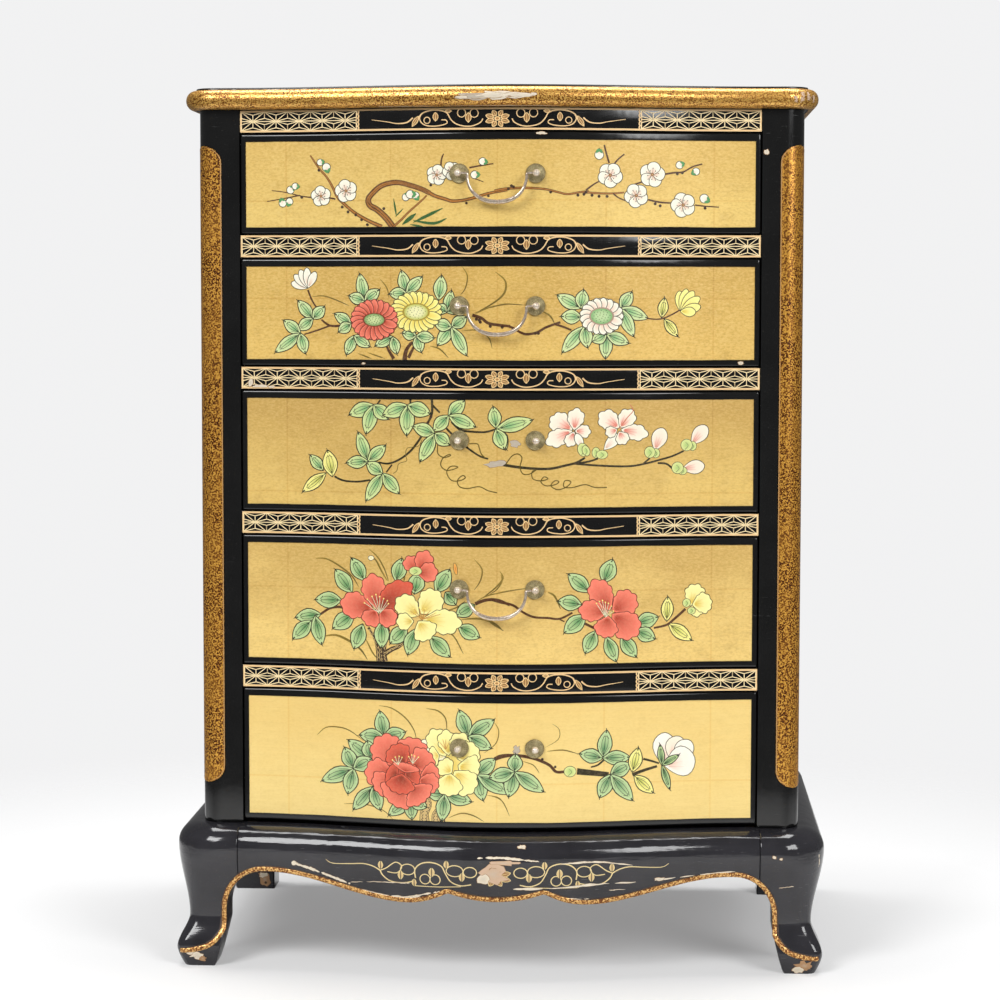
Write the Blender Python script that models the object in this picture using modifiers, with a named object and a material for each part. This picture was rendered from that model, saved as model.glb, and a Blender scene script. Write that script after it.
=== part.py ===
# A bow-front lacquer chest of five drawers on a stand with cabriole legs.
# Metres, +Z up, the front faces -Y, the origin lies on the floor under the middle of the whole chest.
# Shapes are drawn from the plane of the drawer opening, y = 0 there, and one empty moves them to their place.
import math

import bmesh
import bpy

# Carcass in plan
carcass_width = 0.6138
carcass_depth = 0.388
stile_width = 0.0427
bow_depth = 0.0415
bow_parabola_share = 0.14
corner_radius = 0.020
stile_depth = 0.038
side_thickness = 0.015
back_thickness = 0.008

# Heights, from the floor up
stand_height = 0.1462
opening_1_height = 0.1029
opening_2_height = 0.1105
opening_3_height = 0.1249
opening_4_height = 0.1355
opening_5_height = 0.1416
rail_height = 0.0228
frieze_height = 0.0230
top_thickness = 0.022

# Top and its moulding
top_overhang = 0.0140
moulding_width = 0.0105
moulding_height = 0.020
moulding_lip = 0.001
panel_softening = 0.0006

# Rails, dust boards and guides
rail_depth = 0.045
dust_board_thickness = 0.009
guide_height = 0.014
guide_set_back = 0.002
bottom_board_thickness = 0.012

# Gilt strips let into the stiles
strip_radius = 0.0175
strip_half_angle = math.radians(67)
strip_foot_clearance = 0.0416
strip_head_clearance = 0.036
strip_end_length = 0.017
strip_depth = 0.006
strip_tip_share = 0.11
strip_fit = 0.0006

# Stand
shoulder_reach = 0.003
knee_reach = 0.0275
ankle_reach = 0.0130
toe_reach = 0.0240
sole_reach = 0.017
knee_drop = 0.0224
ankle_height = 0.052
toe_height = 0.020
leg_width = 0.0405
ankle_inner = 0.027
sole_inner = 0.015
ankle_corner = 0.013
toe_corner = 0.009
corner_limit = 0.9
sole_curl = 1.5
taper_height = 0.044
taper_curl = 0.8
rear_leg_depth = 0.040
apron_thickness = 0.012
arch_drop = 0.0454
arch_spring = 0.0578
arch_reach = 0.040
lobe_drop = 0.0668
cusp_drop = 0.0584
side_lobe_drop = 0.0707
cusp_place = 0.049
side_lobe_place = 0.092
arch_set_in = 0.0729
back_tongue_height = 0.1028

# Drawers
drawer_gap = 0.0012
sill_gap = 0.004
front_thickness = 0.020
front_edge_radius = 0.0022
field_side_border = 0.0055
field_top_border = 0.0080
field_bottom_border = 0.0066
field_recess = 0.0008
box_clearance = 0.0015
box_top_drop = 0.016
box_back_clearance = 0.0147
box_side_thickness = 0.010
box_back_thickness = 0.010
box_bottom_thickness = 0.005
box_bottom_rise = 0.008
groove_depth = 0.005

# Pulls: post centres, how far above the middle of the gold field they stand, plate, ball and shank
pull_spacing = 0.0762
pull_1_rise = 0.0095
pull_2_rise = 0.0075
pull_3_rise = 0.0136
pull_4_rise = 0.0165
pull_5_rise = 0.0150
plate_radius = 0.0098
plate_thickness = 0.0016
plate_face_share = 0.8
plate_rim_share = 0.6
post_radius = 0.0024
ball_radius = 0.0036
ball_stand_off = 0.0105
shank_radius = 0.0020
nut_radius = 0.0048
nut_thickness = 0.003

# Bails, which three of the drawers still have
bail_drawers = (1, 2, 4)
bail_width = 0.059
bail_drop = 0.0285
bail_pin_radius = 0.0011
bail_arm_radius = 0.0015
bail_middle_radius = 0.0025
bail_turn = 0.0025
bail_roundness = 0.9
pin_reach_share = 0.35
eye_place_share = 1.1

# Clearances between pieces that touch, and between what turns or slides
fit = 0.0003
bore_fit = 0.0003
edge_softening = 0.0012
stile_softening = 0.0015
cutter_proud = 0.006
merge_distance = 0.00002

# How finely curves are divided
bow_steps = 20
corner_steps = 5
turned_steps = 12
eye_steps = 8
moulding_steps = 6
strip_steps = 6
bail_steps = 14

half_width = carcass_width / 2
half_opening = half_width - stile_width
field_width = 2 * (half_opening - drawer_gap - field_side_border)
arch_place = half_width - arch_set_in
drawer_openings = {5: opening_5_height, 4: opening_4_height, 3: opening_3_height,
                   2: opening_2_height, 1: opening_1_height}
pull_rise = {1: pull_1_rise, 2: pull_2_rise, 3: pull_3_rise, 4: pull_4_rise, 5: pull_5_rise}
carcass_top = stand_height + sum(drawer_openings.values()) + 4 * rail_height + frieze_height
strip_bottom = stand_height + strip_foot_clearance
strip_top = carcass_top - strip_head_clearance
knee_height = stand_height - knee_drop
arch_height = stand_height - arch_drop
lobe_height = stand_height - lobe_drop
cusp_height = stand_height - cusp_drop
side_lobe_height = stand_height - side_lobe_drop
box_depth = carcass_depth - back_thickness - box_back_clearance - front_thickness - fit
front_reach = bow_depth + max(top_overhang, knee_reach, ball_stand_off + ball_radius)
opening_plane = front_reach - (front_reach + carcass_depth) / 2

finishes = {
    "black_lacquer": ((0.012, 0.012, 0.013), 0.12, 0.0),
    "gold_leaf": ((0.72, 0.49, 0.17), 0.45, 0.5),
    "gilt_speckle": ((0.45, 0.22, 0.05), 0.35, 0.4),
    "bare_wood": ((0.50, 0.35, 0.20), 0.70, 0.0),
    "pewter": ((0.42, 0.38, 0.31), 0.38, 1.0),
}


def clear_scene():
    for old in list(bpy.data.objects):
        bpy.data.objects.remove(old)


def make_finish(name, colour, roughness, metallic):
    finish = bpy.data.materials.new(name)
    finish.use_nodes = True
    shader = finish.node_tree.nodes["Principled BSDF"]
    shader.inputs["Base Color"].default_value = (*colour, 1)
    shader.inputs["Roughness"].default_value = roughness
    shader.inputs["Metallic"].default_value = metallic
    return finish


def new_collection(name):
    collection = bpy.data.collections.new(name)
    bpy.context.scene.collection.children.link(collection)
    return collection


clear_scene()
parts = new_collection("drawer_cabinet")
cutters = new_collection("cutters")
finish_of = {name: make_finish(name, *values) for name, values in finishes.items()}


def new_empty(name, location, parent=None):
    empty = bpy.data.objects.new(name, None)
    parts.objects.link(empty)
    empty.location = location
    empty.parent = parent
    return empty


chest = new_empty("chest", (0, opening_plane, 0))


def place(name, data, finish, location=(0, 0, 0), parent=None):
    """A piece of the chest, under its body's empty."""
    piece = bpy.data.objects.new(name, data)
    parts.objects.link(piece)
    piece.location = location
    piece.parent = parent or chest
    piece.data.materials.append(finish_of[finish])
    return piece


def as_cutter(piece):
    parts.objects.unlink(piece)
    cutters.objects.link(piece)
    piece.hide_render = True
    piece.display_type = "WIRE"
    return piece


def combine(piece, other, operation="DIFFERENCE"):
    modifier = piece.modifiers.new(other.name, "BOOLEAN")
    modifier.operation = operation
    modifier.solver = "EXACT"
    modifier.material_mode = "TRANSFER"
    modifier.object = other


def soften(piece, width=edge_softening):
    modifier = piece.modifiers.new("soft_edges", "BEVEL")
    modifier.width = width
    modifier.segments = 1
    modifier.limit_method = "ANGLE"
    modifier.angle_limit = math.radians(50)


def plan_board(name, outline, bottom, top, finish, parent=None, upright=False):
    """A flat outline given thickness, made a mesh.
    Upright, the outline is in x and z, and bottom and top are y."""
    curve = bpy.data.curves.new(name + "_outline", "CURVE")
    curve.dimensions = "2D"
    curve.fill_mode = "BOTH"
    curve.extrude = (top - bottom) / 2
    spline = curve.splines.new("POLY")
    spline.points.add(len(outline) - 1)
    for point, (across, along) in zip(spline.points, outline):
        point.co = (across, along, 0, 1)
    spline.use_cyclic_u = True
    drawn = bpy.data.objects.new(name + "_outline", curve)
    parts.objects.link(drawn)
    bpy.context.view_layer.update()
    mesh = bpy.data.meshes.new_from_object(drawn.evaluated_get(bpy.context.evaluated_depsgraph_get()))
    bpy.data.objects.remove(drawn)
    bpy.data.curves.remove(curve)
    work = bmesh.new()
    work.from_mesh(mesh)
    bmesh.ops.remove_doubles(work, verts=work.verts, dist=merge_distance)
    bmesh.ops.recalc_face_normals(work, faces=work.faces)
    work.to_mesh(mesh)
    work.free()
    middle = (bottom + top) / 2
    if not upright:
        return place(name, mesh, finish, (0, 0, middle), parent)
    piece = place(name, mesh, finish, (0, middle, 0), parent)
    piece.rotation_euler = (math.pi / 2, 0, 0)
    return piece


def take_mesh():
    """The mesh of the primitive just added, without its object."""
    added = bpy.context.object
    mesh = added.data
    bpy.data.objects.remove(added)
    return mesh


def board(name, low, high, finish, parent=None):
    """A plain board between two corners."""
    bpy.ops.mesh.primitive_cube_add(size=1)
    mesh = take_mesh()
    size = [b - a for a, b in zip(low, high)]
    for vertex in mesh.vertices:
        vertex.co = [part * side for part, side in zip(vertex.co, size)]
    return place(name, mesh, finish, [(a + b) / 2 for a, b in zip(low, high)], parent)


def round_cutter(name, radius, length, steps, location, rotation, parent):
    bpy.ops.mesh.primitive_cylinder_add(vertices=steps, radius=radius, depth=length)
    cutter = place(name, take_mesh(), "bare_wood", location, parent)
    cutter.rotation_euler = rotation
    return as_cutter(cutter)


def loft(name, rings, finish, parent=None):
    """A skin over rings of equal count, closed at both ends."""
    work = bmesh.new()
    loops = [[work.verts.new(point) for point in ring] for ring in rings]
    for first, second in zip(loops, loops[1:]):
        for here in range(len(first)):
            after = (here + 1) % len(first)
            work.faces.new((first[here], first[after], second[after], second[here]))
    work.faces.new(loops[0])
    work.faces.new(loops[-1])
    bmesh.ops.recalc_face_normals(work, faces=work.faces)
    mesh = bpy.data.meshes.new(name)
    work.to_mesh(mesh)
    work.free()
    mesh.shade_smooth()
    mesh.set_sharp_from_angle(angle=math.radians(35))
    return place(name, mesh, finish, parent=parent)


def turned(name, profile, finish, steps=turned_steps):
    """A turned piece from (radius, height) points that run down its outer side."""
    mesh = bpy.data.meshes.new(name)
    points = [(radius, 0, height) for radius, height in profile]
    edges = [(here, here + 1) for here in range(len(points) - 1)]
    mesh.from_pydata(points, edges, [])
    piece = place(name, mesh, finish)
    screw = piece.modifiers.new("turned", "SCREW")
    screw.steps = steps
    screw.render_steps = steps
    screw.use_merge_vertices = True
    screw.merge_threshold = 0.00001
    screw.use_smooth_shade = True
    return piece


def steps_between(low, high, count):
    return [low + (high - low) * step / count for step in range(count + 1)]


def bow(x):
    """How far the bowed front stands before the plane of the opening."""
    share = min(abs(x) / half_opening, 1)
    wave = (1 + math.cos(math.pi * share)) / 2
    return bow_depth * (bow_parabola_share * (1 - share**2) + (1 - bow_parabola_share) * wave)


def bow_slope(x):
    step = 0.0005
    return (bow(x - step) - bow(x + step)) / (2 * step)


def bow_line(reach, outward):
    """Points along the bow from left to right, reach to each side, pushed outward."""
    return [(x, -bow(x) - outward) for x in steps_between(-reach, reach, bow_steps)]


def corner_line(outward):
    """The right front corner from the front round to the side."""
    centre = half_width - corner_radius
    radius = corner_radius + outward
    angles = steps_between(0, math.pi / 2, corner_steps)
    return [(centre + radius * math.sin(a), corner_radius - radius * math.cos(a)) for a in angles]


def carcass_line(outward, back):
    """From the left at the back, round the bowed front, to the right at the back."""
    right = corner_line(outward) + [(half_width + outward, back)]
    left = [(-x, y) for x, y in reversed(right)]
    return left + bow_line(half_opening, outward) + right


def mirrored(outline):
    return [(-x, y) for x, y in reversed(outline)]


def make_top():
    panel_edge = top_overhang - moulding_width
    panel = plan_board("top_panel", carcass_line(panel_edge, carcass_depth),
                       carcass_top, carcass_top + top_thickness, "black_lacquer")
    soften(panel, panel_softening)
    half = moulding_height / 2
    inner = panel_edge + fit
    bulge = moulding_width - fit - moulding_lip
    section = [(inner, 0)]
    for angle in steps_between(-math.pi / 2, math.pi / 2, moulding_steps):
        section.append((inner + moulding_lip + bulge * math.cos(angle), half + half * math.sin(angle)))
    section.append((inner, moulding_height))
    lines = [carcass_line(outward, carcass_depth) for outward, _ in section]
    rings = []
    for station in range(len(lines[0])):
        rings.append([(*line[station], carcass_top + height) for line, (_, height) in zip(lines, section)])
    loft("top_moulding", rings, "gilt_speckle")


def strip_rings(side, grow):
    """Rings of the gilt strip up the corner of a stile; grown, they cut its bed."""
    centre_x = half_width - strip_radius
    outer = strip_radius + (cutter_proud if grow else 0)
    inner = strip_radius - strip_depth - (fit if grow else 0)
    rings = []
    rises = [strip_end_length * (1 - math.cos(a)) for a in steps_between(0, math.pi / 2, 5)]
    ends = [(strip_bottom + rise, rise, -grow) for rise in rises]
    ends += [(strip_top - rise, rise, grow) for rise in reversed(rises)]
    for height, rise, shift in ends:
        width = max(math.sqrt(1 - (1 - rise / strip_end_length) ** 2), strip_tip_share)
        half_angle = strip_half_angle * width + grow / strip_radius
        angles = steps_between(-half_angle, half_angle, strip_steps)
        turns = [(outer, a) for a in angles] + [(inner, a) for a in reversed(angles)]
        ring = []
        for radius, angle in turns:
            turn = angle - math.pi / 4
            across = side * (centre_x + radius * math.cos(turn))
            ring.append((across, strip_radius + radius * math.sin(turn), height + shift))
        rings.append(ring)
    return rings


def make_stiles():
    low, high = stand_height + fit, carcass_top - fit
    outline = [(half_opening, 0)] + corner_line(0) + [(half_width, stile_depth), (half_opening, stile_depth)]
    for name, side in (("left", -1), ("right", 1)):
        drawn = outline if side > 0 else mirrored(outline)
        stile = plan_board("stile_" + name, drawn, low, high, "black_lacquer")
        soften(stile, stile_softening)
        combine(stile, as_cutter(loft("strip_bed_" + name, strip_rings(side, strip_fit), "black_lacquer")))
        loft("gilt_strip_" + name, strip_rings(side, 0), "gilt_speckle")


def make_sides_and_back():
    low, high = stand_height + fit, carcass_top - fit
    front = stile_depth + fit
    for name, side in (("left", -1), ("right", 1)):
        faces = sorted((side * (half_width - side_thickness), side * half_width))
        near, far = (faces[0], front, low), (faces[1], carcass_depth, high)
        soften(board("side_" + name, near, far, "black_lacquer"))
    wide = half_width - side_thickness - fit
    narrow = half_width - leg_width - fit
    outline = [(-narrow, back_tongue_height), (narrow, back_tongue_height), (narrow, low), (wide, low),
               (wide, high), (-wide, high), (-wide, low), (-narrow, low)]
    inner_face = carcass_depth - back_thickness
    plan_board("back_panel", outline, inner_face, carcass_depth, "bare_wood", upright=True)


def add_guides(piece, level, back):
    """The two strips that keep a drawer straight, standing on a dust board."""
    inner, outer = half_opening, half_width - side_thickness - 2 * fit
    front = max(stile_depth, leg_width) + guide_set_back
    for name, side in (("left", -1), ("right", 1)):
        faces = sorted((side * inner, side * outer))
        strip = board(f"{piece.name}_guide_{name}", (faces[0], front, level - dust_board_thickness / 2),
                      (faces[1], back - guide_set_back, level + guide_height), "bare_wood")
        combine(piece, as_cutter(strip), "UNION")


def make_rails():
    """The frieze, then four rails with their dust boards and guides. Returns each drawer's opening."""
    behind = carcass_depth - back_thickness - fit
    wide = half_width - side_thickness - fit
    narrow = half_opening - fit
    outline = bow_line(narrow, 0) + [(narrow, rail_depth), (-narrow, rail_depth)]
    openings = {}
    level = stand_height
    for number in (5, 4, 3, 2):
        bottom = level + drawer_openings[number]
        openings[number] = (level, bottom)
        level = bottom + rail_height
        rail = plan_board(f"rail_{number}", outline, bottom, level, "black_lacquer")
        shelf = board(f"dust_board_{number}", (-wide, stile_depth + fit, level - dust_board_thickness),
                      (wide, behind, level), "bare_wood")
        add_guides(shelf, level, behind)
        combine(rail, as_cutter(shelf), "UNION")
    openings[1] = (level, level + drawer_openings[1])
    plan_board("rail_1", outline, openings[1][1], carcass_top - fit, "black_lacquer")
    return openings


def leg_reach(height):
    """How far the stand's outer face stands beyond the carcass at a height."""
    if height >= knee_height:
        rise = (height - knee_height) / (stand_height - knee_height)
        return shoulder_reach + (knee_reach - shoulder_reach) * math.sqrt(max(1 - rise**2, 0))
    if height >= ankle_height:
        return eased(height, ankle_height, knee_height, ankle_reach, knee_reach)
    if height >= toe_height:
        return eased(height, toe_height, ankle_height, toe_reach, ankle_reach)
    fall = 1 - height / toe_height
    return toe_reach - (toe_reach - sole_reach) * fall**sole_curl


def eased(value, low, high, start, end):
    share = (value - low) / (high - low)
    return start + (end - start) * share * share * (3 - 2 * share)


def arch_line(height):
    """Where the arch beside a leg stands at a height, measured in from the leg's outer line."""
    rise = min(max((height - arch_spring) / (arch_height - arch_spring), 0), 1)
    return ankle_inner + arch_reach * (1 - math.sqrt(1 - rise**2))


def leg_inner(height, taper=True):
    if height >= arch_spring:
        return min(arch_line(height), leg_width)
    if height >= taper_height or not taper:
        return ankle_inner
    return sole_inner + (ankle_inner - sole_inner) * (height / taper_height) ** taper_curl


def leg_corner(height):
    """Radius of the leg's outer corner in plan."""
    if height >= knee_height:
        return corner_radius + leg_reach(height)
    if height >= ankle_height:
        return eased(height, ankle_height, knee_height, ankle_corner, corner_radius + knee_reach)
    return eased(max(height, toe_height), toe_height, ankle_height, toe_corner, ankle_corner)


def leg_heights():
    sole = steps_between(0, toe_height, 3)
    foot = steps_between(toe_height, ankle_height, 5)
    shin = steps_between(ankle_height, knee_height, 10)
    turns = steps_between(0, math.pi / 2, 7)
    shoulder = [knee_height + (stand_height - knee_height) * math.sin(a) for a in turns]
    return sole[:-1] + foot[:-1] + shin[:-1] + shoulder


def make_legs():
    for name, side in (("left", -1), ("right", 1)):
        rings = []
        for height in leg_heights():
            reach, inner = leg_reach(height), leg_inner(height)
            radius = min(leg_corner(height), corner_limit * (reach + inner))
            centre = reach - radius
            angles = steps_between(0, math.pi / 2, corner_steps)
            ring = [(-inner, reach)]
            ring += [(centre + radius * math.sin(a), centre + radius * math.cos(a)) for a in angles]
            ring += [(reach, -inner), (-inner, -inner)]
            rings.append([(side * (half_width + x), -y, height) for x, y in ring])
        loft("leg_front_" + name, rings, "black_lacquer")
        rings = []
        for height in leg_heights():
            outer, inner = half_width + leg_reach(height), half_width - leg_inner(height, taper=False)
            front = carcass_depth - rear_leg_depth
            ring = [(inner, front), (outer, front), (outer, carcass_depth), (inner, carcass_depth)]
            rings.append([(side * x, y, height) for x, y in ring])
        loft("leg_rear_" + name, rings, "black_lacquer")


def front_edge(x):
    """Height of the front apron's scalloped edge."""
    place_x = abs(x)
    if place_x <= cusp_place:
        return lobe_height + (cusp_height - lobe_height) * (place_x / cusp_place) ** 2
    if place_x <= side_lobe_place:
        run = (side_lobe_place - place_x) / (side_lobe_place - cusp_place)
        return side_lobe_height + (cusp_height - side_lobe_height) * run**2
    if place_x <= arch_place:
        return eased(place_x, side_lobe_place, arch_place, side_lobe_height, arch_height)
    return arch_fall(half_width - place_x)


def arch_fall(inset):
    """Height of the arch near a leg, at an inset from the leg's outer line."""
    run = min(max((ankle_inner + arch_reach - inset) / arch_reach, 0), 1)
    return arch_spring + (arch_height - arch_spring) * math.sqrt(1 - run**2)


def apron_section(edge):
    """(outward, height) points of an apron's closed section, over an edge at this height."""
    turns = steps_between(0, math.pi / 2, 5)
    heights = [stand_height - (stand_height - knee_height) * (1 - math.cos(a)) for a in turns]
    heights += steps_between(knee_height, edge, 3)[1:]
    outer = [(leg_reach(height), height) for height in heights]
    return outer + [(-apron_thickness, edge), (-apron_thickness, stand_height)]


def make_aprons():
    reach = half_width - leg_width - fit
    stations = set()
    for low, high, count in ((0, cusp_place, 4), (cusp_place, side_lobe_place, 4),
                             (side_lobe_place, arch_place, 7), (arch_place, reach, 4)):
        stations.update(round(x, 6) for x in steps_between(low, high, count))
    right = sorted(stations)
    rings = []
    for x in [-x for x in reversed(right[1:])] + right:
        section = apron_section(front_edge(x))
        rings.append([(x, -bow(x) - outward, height) for outward, height in section])
    loft("apron_front", rings, "black_lacquer")
    near, far = leg_width + fit, carcass_depth - rear_leg_depth - fit
    middle = (near + far) / 2
    for name, side in (("left", -1), ("right", 1)):
        rings = []
        for y in steps_between(near, far, 20):
            inset = min(y, 2 * middle - y)
            run = min(abs(y - middle) / (middle - ankle_inner - arch_reach), 1)
            swell = eased(run, 0, 1, side_lobe_height, arch_height)
            section = apron_section(min(swell, arch_fall(inset)))
            rings.append([(side * (half_width + outward), y, height) for outward, height in section])
        loft("apron_" + name, rings, "black_lacquer")


def make_bottom_board():
    narrow = half_width - leg_width - fit
    wide = half_width - apron_thickness - fit
    near, far = leg_width + fit, carcass_depth - rear_leg_depth - fit
    behind = carcass_depth - back_thickness - fit
    outline = bow_line(narrow, -apron_thickness - fit) + [(narrow, behind), (-narrow, behind)]
    low = stand_height - bottom_board_thickness
    bottom = plan_board("bottom_board", outline, low, stand_height, "bare_wood")
    wings = board("bottom_board_wings", (-wide, near, low), (wide, far, stand_height), "bare_wood")
    add_guides(wings, stand_height, far)
    combine(bottom, as_cutter(wings), "UNION")


def turned_circle(radius, height, start, end, count):
    """(radius, height) points down an arc about the axis."""
    return [(radius * math.sin(a), height + radius * math.cos(a)) for a in steps_between(start, end, count)]


def pull_place(side):
    """Where a ball stands before the drawer face, and the turn of its post."""
    x = side * pull_spacing / 2
    turn = math.atan(bow_slope(x))
    return x, -bow(x), turn


def ball_centre(side):
    x, y, turn = pull_place(side)
    return x + ball_stand_off * math.sin(turn), y - ball_stand_off * math.cos(turn)


def make_pull(number, side, height, drawer):
    """Plate, post, ball, shank and nut, turned about the line that leaves the drawer face squarely.
    Returns the cutter of its hole through the front."""
    x, y, turn = pull_place(side)
    meet = math.pi - math.asin(post_radius / ball_radius)
    back = -front_thickness - fit
    profile = turned_circle(ball_radius, ball_stand_off, 0, meet, 5)
    profile[0] = (0, ball_stand_off + ball_radius)
    profile += [(post_radius, plate_thickness + fit),
                (plate_radius * plate_face_share, plate_thickness + fit),
                (plate_radius, plate_thickness * plate_rim_share), (plate_radius, fit), (shank_radius, fit),
                (shank_radius, back), (nut_radius, back), (nut_radius, back - nut_thickness),
                (shank_radius, back - nut_thickness), (shank_radius, back - 2 * nut_thickness),
                (0, back - 2 * nut_thickness)]
    name = f"pull_{number}_{'left' if side < 0 else 'right'}"
    pull = turned(name, profile, "pewter")
    pull.parent = drawer
    pull.location = (x, y, height)
    pull.rotation_euler = (math.pi / 2, 0, turn)
    ball_x, ball_y = ball_centre(side)
    eye_place = (ball_x - side * ball_radius * eye_place_share, ball_y, height)
    combine(pull, round_cutter(name + "_eye", bail_pin_radius + bore_fit, 2 * ball_radius, eye_steps,
                               eye_place, (0, math.pi / 2, 0), drawer))
    return round_cutter(name + "_hole", shank_radius + bore_fit, 3 * front_thickness, turned_steps,
                        (x, y, height), (math.pi / 2, 0, turn), drawer)


def make_bail(number, height, drawer):
    """The swinging handle, its origin on the line through the two balls."""
    ball_x, ball_y = ball_centre(1)
    pin_end = ball_x - ball_radius * pin_reach_share
    arm = bail_width / 2
    points = [(-pin_end, 0, bail_pin_radius), (-arm - bail_turn, 0, bail_pin_radius)]
    for angle in steps_between(0, math.pi, bail_steps):
        across = -math.copysign(abs(math.cos(angle)) ** bail_roundness, math.cos(angle))
        down = abs(math.sin(angle)) ** bail_roundness
        swell = math.sin(angle) ** 2
        radius = bail_arm_radius + (bail_middle_radius - bail_arm_radius) * swell
        points.append((arm * across, -bail_turn / 2 - (bail_drop - bail_turn / 2) * down, radius))
    points += [(arm + bail_turn, 0, bail_pin_radius), (pin_end, 0, bail_pin_radius)]
    curve = bpy.data.curves.new(f"bail_{number}", "CURVE")
    curve.dimensions = "3D"
    curve.bevel_depth = 1.0
    curve.bevel_resolution = 2
    curve.use_fill_caps = True
    spline = curve.splines.new("POLY")
    spline.points.add(len(points) - 1)
    for point, (x, z, radius) in zip(spline.points, points):
        point.co = (x, 0, z, 1)
        point.radius = radius
    return place(f"bail_{number}", curve, "pewter", (0, ball_y, height), drawer)


def make_drawer(number, opening):
    low, high = opening
    drawer = new_empty(f"drawer_{number}_body", (0, 0, 0), chest)
    name = f"drawer_{number}_"
    reach = half_opening - drawer_gap
    bottom = low + (sill_gap if number == 5 else drawer_gap)
    top = high - drawer_gap
    outline = bow_line(reach, 0) + list(reversed(bow_line(reach, -front_thickness)))
    front = plan_board(name + "front", outline, bottom, top, "black_lacquer", drawer)
    soften(front, front_edge_radius)
    field_low, field_high = bottom + field_bottom_border, top - field_top_border
    field_reach = field_width / 2
    field_line = bow_line(field_reach, cutter_proud) + list(reversed(bow_line(field_reach, -field_recess)))
    field = plan_board(name + "field", field_line, field_low, field_high, "gold_leaf", drawer)
    combine(front, as_cutter(field))

    side_low, side_high = low + fit, top - box_top_drop
    outer = half_opening - box_clearance
    start = front_thickness + fit
    inner = outer - box_side_thickness
    end = start + box_depth
    floor_low = side_low + box_bottom_rise
    floor_high = floor_low + box_bottom_thickness
    deep = inner + groove_depth
    lip = front_thickness - groove_depth
    floor_line = bow_line(deep - fit, -lip) + [(deep - fit, end - fit), (-deep + fit, end - fit)]
    plan_board(name + "bottom", floor_line, floor_low + fit, floor_high - fit, "bare_wood", drawer)
    groove_line = bow_line(deep, fit - lip) + [(deep, end + fit), (-deep, end + fit)]
    groove = as_cutter(plan_board(name + "groove", groove_line, floor_low, floor_high, "bare_wood", drawer))
    combine(front, groove)
    for side_name, side in (("side_left", -1), ("side_right", 1)):
        faces = sorted((side * inner, side * outer))
        near, far = (faces[0], start, side_low), (faces[1], end, side_high)
        combine(board(name + side_name, near, far, "bare_wood", drawer), groove)
    board(name + "back", (-inner + fit, end - box_back_thickness, floor_high + fit),
          (inner - fit, end, side_high), "bare_wood", drawer)

    height = (field_low + field_high) / 2 + pull_rise[number]
    for side in (-1, 1):
        combine(front, make_pull(number, side, height, drawer))
    if number in bail_drawers:
        make_bail(number, height, drawer)


make_top()
make_stiles()
make_sides_and_back()
opening_of = make_rails()
make_legs()
make_aprons()
make_bottom_board()
for drawer_number in sorted(opening_of):
    make_drawer(drawer_number, opening_of[drawer_number])
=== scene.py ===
import math

import bmesh
import bpy
from mathutils import Euler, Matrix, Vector, noise


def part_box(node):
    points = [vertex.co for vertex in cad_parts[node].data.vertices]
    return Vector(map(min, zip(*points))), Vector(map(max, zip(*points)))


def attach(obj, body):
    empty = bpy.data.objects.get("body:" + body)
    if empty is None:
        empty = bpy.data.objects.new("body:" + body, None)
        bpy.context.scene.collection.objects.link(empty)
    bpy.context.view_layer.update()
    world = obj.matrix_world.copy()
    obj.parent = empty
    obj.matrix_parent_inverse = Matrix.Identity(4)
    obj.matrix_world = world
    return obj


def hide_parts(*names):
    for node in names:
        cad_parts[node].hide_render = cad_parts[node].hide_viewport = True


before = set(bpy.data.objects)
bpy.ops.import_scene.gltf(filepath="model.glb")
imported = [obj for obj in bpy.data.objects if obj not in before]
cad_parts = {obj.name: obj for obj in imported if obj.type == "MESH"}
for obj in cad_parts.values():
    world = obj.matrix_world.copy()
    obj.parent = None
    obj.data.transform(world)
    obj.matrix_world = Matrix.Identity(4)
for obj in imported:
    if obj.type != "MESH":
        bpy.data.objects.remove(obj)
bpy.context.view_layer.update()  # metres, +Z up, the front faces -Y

mm = 0.001
print("frame loaded:", len(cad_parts), "nodes")

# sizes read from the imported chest
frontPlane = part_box("stile_left")[0].y
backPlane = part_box("side_left")[1].y
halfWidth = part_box("side_right")[1].x
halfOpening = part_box("stile_right")[0].x
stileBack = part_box("stile_left")[1].y
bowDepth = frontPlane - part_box("rail_1")[0].y
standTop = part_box("apron_front")[1].z
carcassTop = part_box("top_moulding")[0].z
chest = {"bowParabolaShare": 0.14, "cornerRadius": 20 * mm, "gap": 0.3 * mm, "slopeProbe": 0.5 * mm}
gap = chest["gap"]
bothSides = (("left", -1), ("right", 1))
drawers = range(1, 6)
quarter, fullTurn = math.pi / 2, 2 * math.pi


def stepsBetween(low, high, count):
    return [low + (high - low) * step / count for step in range(count + 1)]


def eased(value, low, high, start, end):
    share = min(max((value - low) / (high - low), 0), 1)
    return start + (end - start) * share * share * (3 - 2 * share)


def mixed(a, b, share):
    return tuple(p + (q - p) * share for p, q in zip(a, b))


def heightsOf(node):
    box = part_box(node)
    return box[0].z, box[1].z


def bow(x):
    share = min(abs(x) / halfOpening, 1)
    parabola = chest["bowParabolaShare"]
    return bowDepth * (parabola * (1 - share**2) + (1 - parabola) * (1 + math.cos(math.pi * share)) / 2)


def bowSlope(x):
    probe = chest["slopeProbe"]
    return (bow(x + probe) - bow(x - probe)) / (2 * probe)


def onBow(x, z, out=0.0):
    # a point of the bowed front, out from it along its own normal
    slope = bowSlope(x)
    length = math.hypot(slope, 1)
    return Vector((x - out * slope / length, frontPlane - bow(x) - out / length, z))


def bowLine(reach, outward, count=96):
    return [(x, frontPlane - bow(x) - outward) for x in stepsBetween(-reach, reach, count)]


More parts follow.
